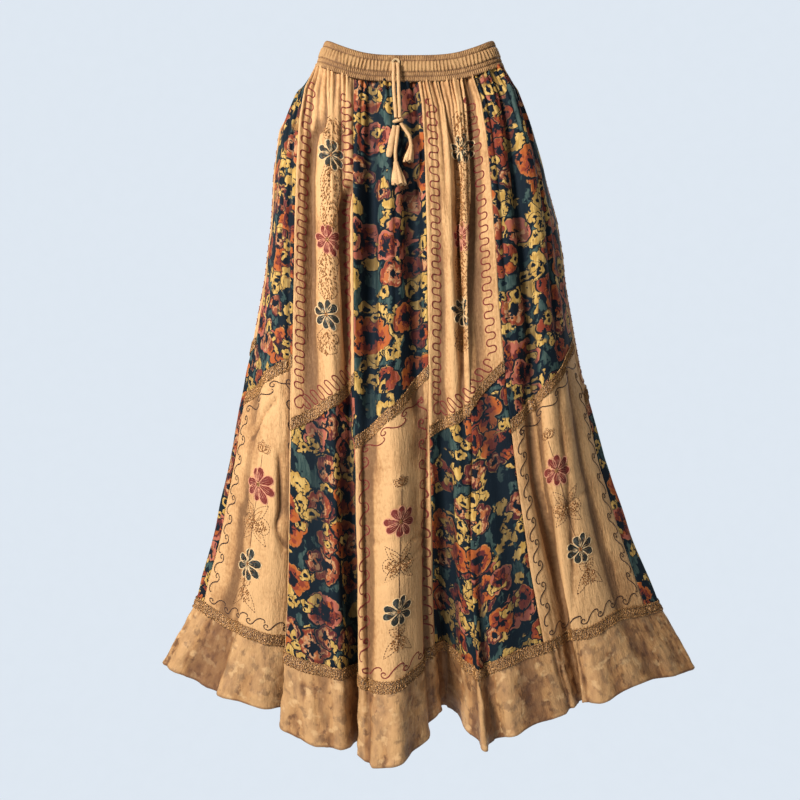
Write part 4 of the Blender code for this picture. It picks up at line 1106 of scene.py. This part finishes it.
def tube(line, at, radius, around, flatten=1.0, folds=0.0):  # rings of points along a line, in metres
    tangent = unit(np.gradient(line, axis=0))
    side = unit(np.cross(tangent, np.array([0.0, 1.0, 0.0])))
    front = np.cross(side, tangent)
    angle = evenAngles(around)
    uneven = softNoise(at[:, None] * 900, angle[None, :] * 2, 25)
    wave = 1 + folds * np.cos(2 * angle)[None, :] + 0.05 * uneven
    radius = np.broadcast_to(np.asarray(radius, float), at.shape)[:, None]
    x, y = radius * wave * np.cos(angle), radius * wave * np.sin(angle) * flatten
    rings = line[:, None] + side[:, None] * x[..., None] + front[:, None] * y[..., None]
    faces = gridFaces(ringNumbers(len(line), around), True).tolist()
    last = (len(line) - 1) * around
    faces += [list(range(around)), list(range(last + around - 1, last - 1, -1))]
    return rings.reshape(-1, 3), faces, rows3(at[:, None] * 1000, angle, 0.0)


def addCordPiece(node, kind, points, faces, stitch):  # points in metres
    return addPiece(f"{node}_{kind}", points / mm, faces, cordCloth, "drawstring", (node,), stitch=stitch)


knotSize = {
    "place": (-0.0153, -0.0695, -0.0870), "wide": 0.0051, "deep": 0.0030, "high": 0.0032, "cord": 0.0020,
    "turns": 1.75, "points": 60,
}


def addKnot():  # nearly two turns of cord, one over the other
    angle = np.linspace(0, fullTurn * knotSize["turns"], knotSize["points"])
    line = np.array(knotSize["place"]) + np.stack([
        knotSize["wide"] * np.cos(angle), knotSize["deep"] * np.sin(angle),
        knotSize["high"] * np.sin(angle * 0.57 + 0.6) * np.cos(angle * 0.5),
    ], axis=1)
    at = np.linspace(0, 0.05, knotSize["points"])
    return addCordPiece("drawstring_knot", "turns", *tube(line, at, knotSize["cord"], 8))


knot = addKnot()

tassels = {
    # top centre, bottom centre, top radius, bottom radius (metres)
    "tassel_middle": ((-0.0182, -0.0698, -0.1368), (-0.0140, -0.0706, -0.1660), 0.0026, 0.0084),
    "tassel_right": ((0.0016, -0.0708, -0.1160), (-0.0024, -0.0712, -0.1370), 0.0024, 0.0058),
}


bellLook = {
    "around": 48, "outerRings": 22, "innerRings": 9, "wall": 0.0007, "mostDeep": 0.0046, "ruffle": 0.0012,
}


def addTassel(name, top, bottom, topRadius, bottomRadius):  # fluted cloth, open below, its inside too
    top, bottom, around = np.array(top), np.array(bottom), bellLook["around"]
    angle = evenAngles(around)
    down, up = np.linspace(0, 1, bellLook["outerRings"]), np.linspace(0.97, 0.15, bellLook["innerRings"])
    rings = []
    for f, wall in [(f, 0.0) for f in down] + [(f, bellLook["wall"]) for f in up]:
        radius = topRadius + (bottomRadius - topRadius) * math.sin(f * math.pi / 2) ** 1.2 - wall
        if f < 0.12 and not wall:
            radius *= 1.12 - 0.9 * abs(f - 0.06)
        flute = 1 + (0.17 * f * np.cos(6 * angle) + 0.05 * f * np.cos(11 * angle + 1))
        x, y, z = top + (bottom - top) * f
        y = y + min(radius, bellLook["mostDeep"]) * flute * np.sin(angle)
        z = z + bellLook["ruffle"] * f**3 * np.cos(6 * angle + 1.2)
        rings.append(np.stack([x + radius * flute * np.cos(angle), y, z], axis=1))
    last = (len(rings) - 1) * around
    faces = gridFaces(ringNumbers(len(rings), around)).tolist()
    faces += [list(range(around))[::-1], list(range(last, last + around))]
    stitch = rows3(np.concatenate([down, up])[:, None] * 28, angle, 0.0)
    return addCordPiece(name, "bell", np.array(rings).reshape(-1, 3), faces, stitch)


bells = {name: addTassel(name, *sizes) for name, sizes in tassels.items()}
cordEnds = {
    "drawstring_upper_left": ("knot", knot), "drawstring_upper_right": ("knot", knot),
    "drawstring_lower_middle": ("fitting", bells["tassel_middle"]),
    "drawstring_lower_right": ("fitting", bells["tassel_right"]),
}
for name, route in cordRoutes.items():
    line, at = smoothRoute(route, cordSize["step"])
    made = tube(line, at, cordSize["diameter"] / 2, cordSize["around"], cordSize["flat"], cordSize["folds"])
    piece = addCordPiece(name, "cord", *made)
    farEnd, endPiece = cordEnds[name]


bowLoop = {
    "route": ((-0.0199, -0.0694, -0.0919), (-0.0235, -0.0698, -0.110), (-0.0274, -0.0696, -0.131)),
    "radii": ((0, 0.3, 0.9, 1), (0.0024, 0.0036, 0.0041, 0.0026)),  # at shares of its length
    "around": 12, "flat": 0.42,
}
line, at = smoothRoute(bowLoop["route"], cordSize["step"])
radius = np.interp(at / at[-1], *bowLoop["radii"])
addCordPiece("drawstring_bow_loop", "fold", *tube(line, at, radius, bowLoop["around"], bowLoop["flat"]))

eyeletSize = {"place": (-18.2, -51.6, -7.8), "radius": 5.6, "hole": 2.4, "height": 1.8, "stitches": 24}


def addEyelet():
    x, y, z = eyeletSize["place"]
    around, across = 3 * eyeletSize["stitches"], 10
    angle, turn = evenAngles(around)[:, None], evenAngles(across)
    outside, hole, half = eyeletSize["radius"], eyeletSize["hole"], eyeletSize["height"] / 2
    ridge = 1 + 0.12 * np.cos(eyeletSize["stitches"] * angle)
    radius = (outside + hole) / 2 + (outside - hole) / 2 * np.cos(turn) * ridge
    out = -half - half * np.sin(turn) * ridge
    points = rows3(x + radius * np.cos(angle), y + out, z + radius * np.sin(angle))
    number = ringNumbers(around, across)
    faces = gridFaces(np.concatenate([number, number[:1]]), True)
    stitch = rows3(turn * 3, angle * 20, 0.0)
    addPiece("eyelet_stitches", points, faces, threads["cream"], "thread", ("eyelet",), stitch=stitch)


addEyelet()
print("drawstring made")

# embroidery: every thread is laid on the cloth's own surface

outline = (3.2, 0.6, 1.35, 0.65)  # dashes of a leaf's outline: length, gap, width, height
filling = (2.6, 0.7, 1.6, 0.9)  # and of the gold inside it
braid = (2.1, 0.85)  # width and height of the looped borders' thread
fifth = 1.257  # of a full turn


def turned(line, centre, angle):
    c, s = math.cos(angle), math.sin(angle)
    u, v = np.transpose(line)
    return np.asarray(centre) + np.stack([u * c - v * s, u * s + v * c], axis=1)


def leafLine(centre, angle, length, width, curl=0.0):  # the outline of a pointed leaf
    share = np.linspace(0, 1, 12)
    out = np.sin(np.pi * share**0.8) * width / 2
    bent = curl * share**2
    top = np.stack([share * length, out + bent], axis=1)
    low = np.stack([share * length, -out + bent], axis=1)[::-1]
    return turned(np.concatenate([top, low[1:]]), centre, angle)


flowerKinds = {
    # thread of the petals, of their outlines, petals, reach, petal width
    "dark": ("charcoal", "cream", 8, 20.0, 10.4),
    "red": ("maroon", "rose", 8, 21.5, 11.0),
}


def addFlower(work, kind, centre, turn, size=1.0):
    fill, edge, count, reach, width = flowerKinds[kind]
    reach, width = reach * size, width * size
    for i in range(count):
        angle = turn + i * fullTurn / count + 0.09 * math.sin(i * 2.7 + turn)
        long = reach * (1 + 0.09 * math.sin(i * 1.9 + turn * 3))
        work[fill].petal(centre, angle, 2.6 * size, long, width)
        shares = np.concatenate([petalShares, petalShares[-2::-1]])
        sides = np.array([0.1, *petalWidths, 0.0])
        sides = np.concatenate([sides, -sides[-2::-1]]) * width / 2
        line = np.stack([2.6 * size + (long - 2.6 * size) * shares + 0.3, sides], axis=1)
        work[edge].thread(turned(line, centre, angle), 1.45, 1.05, 2.2)
        vein = [(3.0 * size, 0.0), (long * (0.80 if kind == "red" else 0.55), 0.0)]
        work[edge].thread(turned(vein, centre, angle), 0.9, 1.25, 3.0)
        for side in (-0.24, 0.24):
            vein = [(0.34 * long, side * width * 0.8), (0.78 * long, side * width)]
            work["gold" if kind == "dark" else edge].thread(turned(vein, centre, angle), 0.7, 1.1, 3.5)
    for i in range(5):
        spot = (centre[0] + 1.7 * math.cos(i * fifth), centre[1] + 1.7 * math.sin(i * fifth))
        work["gold"].dot(spot, 1.05, 1.5)


def addRosette(work, centre, size, turn=0.0):  # a small gold flower with a pale knot
    for i in range(5):
        work["gold"].petal(centre, turn + i * fifth, 0.4, 4.2 * size, 2.5 * size, 0.9)
    work["cream"].dot(centre, 0.9 * size, 1.4)


def addSprig(work, centre, turn, size=1.0):  # three loops of gold on a stem
    for angle in (-2.45, -1.57, -0.69):
        loop = leafLine(centre, angle + turn, 11.5 * size, 7.5 * size)
        work["gold"].thread(loop, 1.2, 0.8)
        work["stem"].dashes(leafLine(centre, angle + turn, 14.0 * size, 10.5 * size), 2.6, 0.6, 1.2, 0.6)
        work["gold"].petal(centre, angle + turn, 2.0, 8.0 * size, 2.4, 0.7)
    work["gold"].dot(centre, 1.5, 1.2)


def addLeaf(work, centre, angle, outer, inner):  # an outlined leaf with gold in it
    work["stem"].dashes(leafLine(centre, angle, *outer), *outline)
    work["gold"].dashes(leafLine(centre, angle, *inner), *filling)


def addLeafPair(work, centre, turn, size=1.0):  # four outlined leaves, two curls and gold rosettes
    leaves = ((-2.10, 35, 12, -4), (-1.04, 35, 12, 4), (2.20, 33, 12, 4), (0.94, 33, 12, -4))
    for angle, length, width, curl in leaves:
        outer = (length * size, width * size, curl)
        addLeaf(work, centre, angle + turn, outer, (length * 0.66 * size, width * 0.42 * size, curl * 0.5))
    for side in (-1, 1):
        curl = [(side * x, y) for x, y in ((5, -3), (14, -10), (23, -5), (24, 5), (17, 11), (9, 8))]
        work["stem"].dashes(turned(bendLine(np.array(curl) * size), centre, turn), *outline)
        for i, (x, y) in enumerate(((8, 1), (14, -3), (18, 2), (13, 6), (7, 8))):
            spot = turned([(side * x * size, y * size)], centre, turn)[0]
            addRosette(work, spot, 0.85 * size, i * 0.7)
    addRosette(work, centre, 1.1 * size, 0.3)


def addCrossedLeaves(work, centre, turn, size=1.0):  # outlined leaves that cross, gold rosettes between them
    for angle, length, curl in ((2.10, 40, 5), (1.04, 40, -5), (-2.2, 18, -3), (-0.94, 18, 3)):
        outer = (length * size, 13 * size, curl)
        addLeaf(work, centre, angle + turn, outer, (length * 0.6 * size, 5 * size, curl * 0.5))
    for i, (x, y) in enumerate(((0, 3), (-9, 9), (9, 9), (0, 13), (-5, 19), (6, 20))):
        addRosette(work, (centre[0] + x * size, centre[1] + y * size), 0.95 * size, i * 0.9)


sprayDensity = 3.1  # stitches to the millimetre


def addSpray(work, centre, length, seed):  # a thick gold spray of short stitches between thin curved stems
    random = np.random.default_rng(seed)
    top, stitches = centre[1] - length / 2, length * sprayDensity
    for i in range(int(stitches)):
        f = (i + random.random()) / stitches
        wide = 12.5 * math.sin(math.pi * min(1, f * 0.94 + 0.03)) ** 0.7
        u, v = (random.random() * 2 - 1) * wide, top + f * length
        lean = 1.57 - u / wide * 0.9 + (random.random() - 0.5) * 0.8
        reach = 2.4 + 2.2 * random.random()
        start = np.array([centre[0] + u, v])
        end = start + reach * np.array([math.cos(lean), math.sin(lean)])
        work["gold"].thread([start, (start + end) / 2, end], 1.5, 1.0 + 0.8 * random.random(), 2.0)
    for side, reach in ((1, 16), (-1, 15)):
        out = [4, reach, reach * 0.75, reach, 5]
        down = [-3, length * 0.28, length * 0.55, length * 0.8, length]
        curve = [(centre[0] + side * u, top + v) for u, v in zip(out, down)]
        work["stem"].dashes(bendLine(curve), 3.6, 0.5, 1.4, 0.6)
    curl = [(centre[0] + u, top + v) for u, v in ((9, 4), (16, 1), (19, 8), (15, 14))]
    work["stem"].thread(bendLine(curl), 1.4, 0.65)


scrollStroke = (
    # one hook of the running scroll: shares of the pitch and of the height
    (0.17, 0.24), (0.24, 0.14), (0.19, 0.00), (0.08, 0.02), (0.01, 0.20), (0.08, 0.44), (0.24, 0.50),
    (0.38, 0.34), (0.50, 0.00), (0.66, -0.32), (0.86, -0.48), (1.02, -0.42), (1.06, -0.24), (1.00, -0.12),
)


def addScroll(stitching, path, pitch, height, flip=1, width=1.7):  # a running line of S-shaped hooks
    long = stepLengths(path).sum()
    units = max(1, int(long / pitch))
    pitch = long / (units + 0.12)
    shape = bendLine(scrollStroke, 5)
    for i in range(units):
        size = height * (1 + 0.08 * math.sin(i * 2.3))
        stitching.thread(alongLine(path, (i + shape[:, 0]) * pitch, shape[:, 1] * size * flip), width, 0.8)


upperWork = {
    # gore: thread of the border, its inset left and right, the motifs' u at the top and at the bottom, and
    # their shift down; below the joins their size too
    1: ("maroon", 10, 12, 9, -2, 0), 3: ("maroon", 12, 15, 11, -6, -20), 5: ("maroon", 12, 12, 2, 0, 6),
    7: ("maroon", 12, 12, 0, 2, -4), 9: ("maroon", 12, 12, -3, 0, 2),
}
lowerWork = {
    0: ("brown", 11, 11, 6, -14, 2, 1.22), 2: ("maroon", 12, 10, 8, -6, 0, 1.0),
    4: ("brown", 12, 12, -22, 10, -26, 1.05), 6: ("maroon", 12, 12, 2, -2, -6, 1.0),
    8: ("brown", 12, 12, -2, 3, 4, 1.0),
}
upperMotifs = (
    # kind, v, size or length, turn
    ("spray", 78, 32.0, 0.0), ("dark", 109, 1.0, 0.4), ("spray", 164, 84.0, 0.0), ("red", 221, 0.95, 0.2),
    ("spray", 268, 62.0, 0.0), ("dark", 319, 1.05, 0.9), ("spray", 356, 30.0, 0.0),
)
lowerMotifs = (
    # kind, v below the join's middle, size, turn
    ("sprig", 100, 1.0, 0.0), ("red", 148, 1.0, 0.2), ("leaves", 203, 0.92, 0.04), ("dark", 265, 1.0, 0.5),
    ("crossed", 296, 0.85, 0.0),
)
sprayKinds = {"sprig": addSprig, "leaves": addLeafPair, "crossed": addCrossedLeaves}
sideSteps = np.linspace(0, 1, 40)


def sideLine(flat, side, inset, top, bottom):  # down one side of a gore
    v = top + (bottom - top) * sideSteps
    return np.stack([side * (flat.half(v) - inset), v], axis=1)


def addUpperWork(k):
    colour, left, right, topU, lowU, shift = upperWork[k]
    flat, work = flats[k], {name: Stitching() for name in threads}
    for side, inset in ((-1, left), (1, right)):
        path = sideLine(flat, side, inset, 24, float(flat.joinV(side * 40)) - 30)
        work[colour].thread(serpentine(path, 18.0, 12.5), *braid)
    u = np.linspace(-1, 1, 30) * (flat.half(380) - max(left, right) - 1)
    path = np.stack([u, flat.joinV(u) - 21], axis=1)
    wave = serpentine(path, 15.0, 15.0, 0.9)
    wave[:, 0] += (wave[:, 1] - flat.joinV(wave[:, 0]) + 21) * 0.35
    work[colour].thread(wave, *braid)
    hook = path[0] + np.array([(2, -1), (-2, 6), (-9, 6), (-11, -2), (-6, -8), (-1, -12)])
    work[colour].thread(bendLine(hook), *braid)
    for i, (kind, v, size, turn) in enumerate(upperMotifs):
        centre = (topU + (lowU - topU) * (v - 78) / 280, v + shift)
        if kind == "spray":
            addSpray(work, centre, size, 7 * k + i)
        else:
            addFlower(work, kind, centre, turn, size)
    layWork(k, "upper", work)


def addLowerWork(k):
    colour, left, right, topU, lowU, shift, scale = lowerWork[k]
    flat, work = flats[k], {name: Stitching() for name in threads}
    bottom = frillAt * flat.length - 26
    for side, inset in ((-1, left), (1, right)):
        path = sideLine(flat, side, inset, float(flat.joinV(side * 45)) + 26, bottom - 6)
        addScroll(work[colour], path, 28.0, 13.0 * side, 1, 2.0)
    wide = flat.half(bottom) - max(left, right) + 2
    u = np.linspace(-1, 1, 30)
    addScroll(work[colour], np.stack([u * wide, bottom + 0 * u], axis=1), 27.0, 13.0, 1, 2.0)
    wide = flat.half(470) - max(left, right)
    path = np.stack([u * wide, flat.joinV(u * wide) + 21], axis=1)
    addScroll(work[colour], path, 31.0, 13.0, -1, 2.0)
    base = float(flat.joinV(0)) + shift

    def middle(v):
        return topU + (lowU - topU) * (v - 100) / 200

    stem = [(middle(v) + dx, base + v) for v, dx in ((104, 0), (148, 1), (203, -1), (265, 0), (318, -2))]
    work["stem"].thread(bendLine(stem), 1.1, 0.55)
    for kind, v, size, turn in lowerMotifs:
        centre, size = (middle(v), base + v), size * scale
        if kind in sprayKinds:
            sprayKinds[kind](work, centre, turn, size)
        else:
            addFlower(work, kind, centre, turn, size)
    layWork(k, "lower", work)


def layWork(k, level, work):
    for colour, stitching in work.items():
        if stitching.count:
            stitching.lay(f"{goreTable[k][0]}_{level}_{colour}_thread", flats[k].toCloth, threads[colour])


for k in upperWork:
    addUpperWork(k)
for k in lowerWork:
    addLowerWork(k)
print("embroidery made")

# floor and light

stageLook = {
    "floor": -1.95, "top": 2.4, "front": -4.0, "wall": 1.75, "bend": 0.6, "half": 4.0,
    "colour": (0.745, 0.815, 0.895),
}


def addStage():  # a pale floor that curves up behind
    turn, bend = np.linspace(0, math.pi / 2, 13), stageLook["bend"]
    y = [stageLook["front"], *(stageLook["wall"] - bend + bend * np.sin(turn)), stageLook["wall"]]
    z = [stageLook["floor"], *(stageLook["floor"] + bend * (1 - np.cos(turn))), stageLook["top"]]
    points = [(x, a, b) for a, b in zip(y, z) for x in (-stageLook["half"], stageLook["half"])]
    mesh = bpy.data.meshes.new("floor")
    mesh.from_pydata(points, [], gridFaces(np.arange(len(points)).reshape(-1, 2), True).tolist())
    mesh.shade_smooth()
    finish = Finish("pale floor")
    place = finish.node("ShaderNodeTexCoord", None, None, "Object")
    grain = finish.noise(place, 0.05, 3.0)
    finish.surface((0.0, 0.0, 0.0), 1.0)
    glow = finish.mix(grain, stageLook["colour"], tuple(c * 0.975 for c in stageLook["colour"]))
    finish.feed(finish.shader.inputs["Emission Color"], glow)
    finish.plain(glow=1.0, specular=0.0)
    mesh.materials.append(finish.material)
    floor = bpy.data.objects.new("floor", mesh)
    bpy.context.scene.collection.objects.link(floor)


addStage()

lights = (
    # name, place, size, power
    ("key light", (-1.35, -1.5, 0.5), 0.6, 82.0),
    ("fill light", (1.6, -2.4, 0.2), 2.0, 3.0),
    ("back light", (0.9, 1.5, 1.0), 1.4, 26.0),
)
lightsAim = Vector((0, 0, -0.45))
for name, place, size, power in lights:
    data = bpy.data.lights.new(name, "AREA")
    data.size, data.energy = size, power
    light = bpy.data.objects.new(name, data)
    light.location = place
    light.rotation_euler = (lightsAim - Vector(place)).to_track_quat("-Z", "Y").to_euler()
    bpy.context.scene.collection.objects.link(light)

worldLook = {"Color": (0.86, 0.93, 1.0, 1.0), "Strength": 0.16}
world = bpy.data.worlds.new("studio")
world.use_nodes = True
for key, value in worldLook.items():
    world.node_tree.nodes["Background"].inputs[key].default_value = value
bpy.context.scene.world = world
bpy.context.scene.view_settings.view_transform = "Standard"
print("stage made")
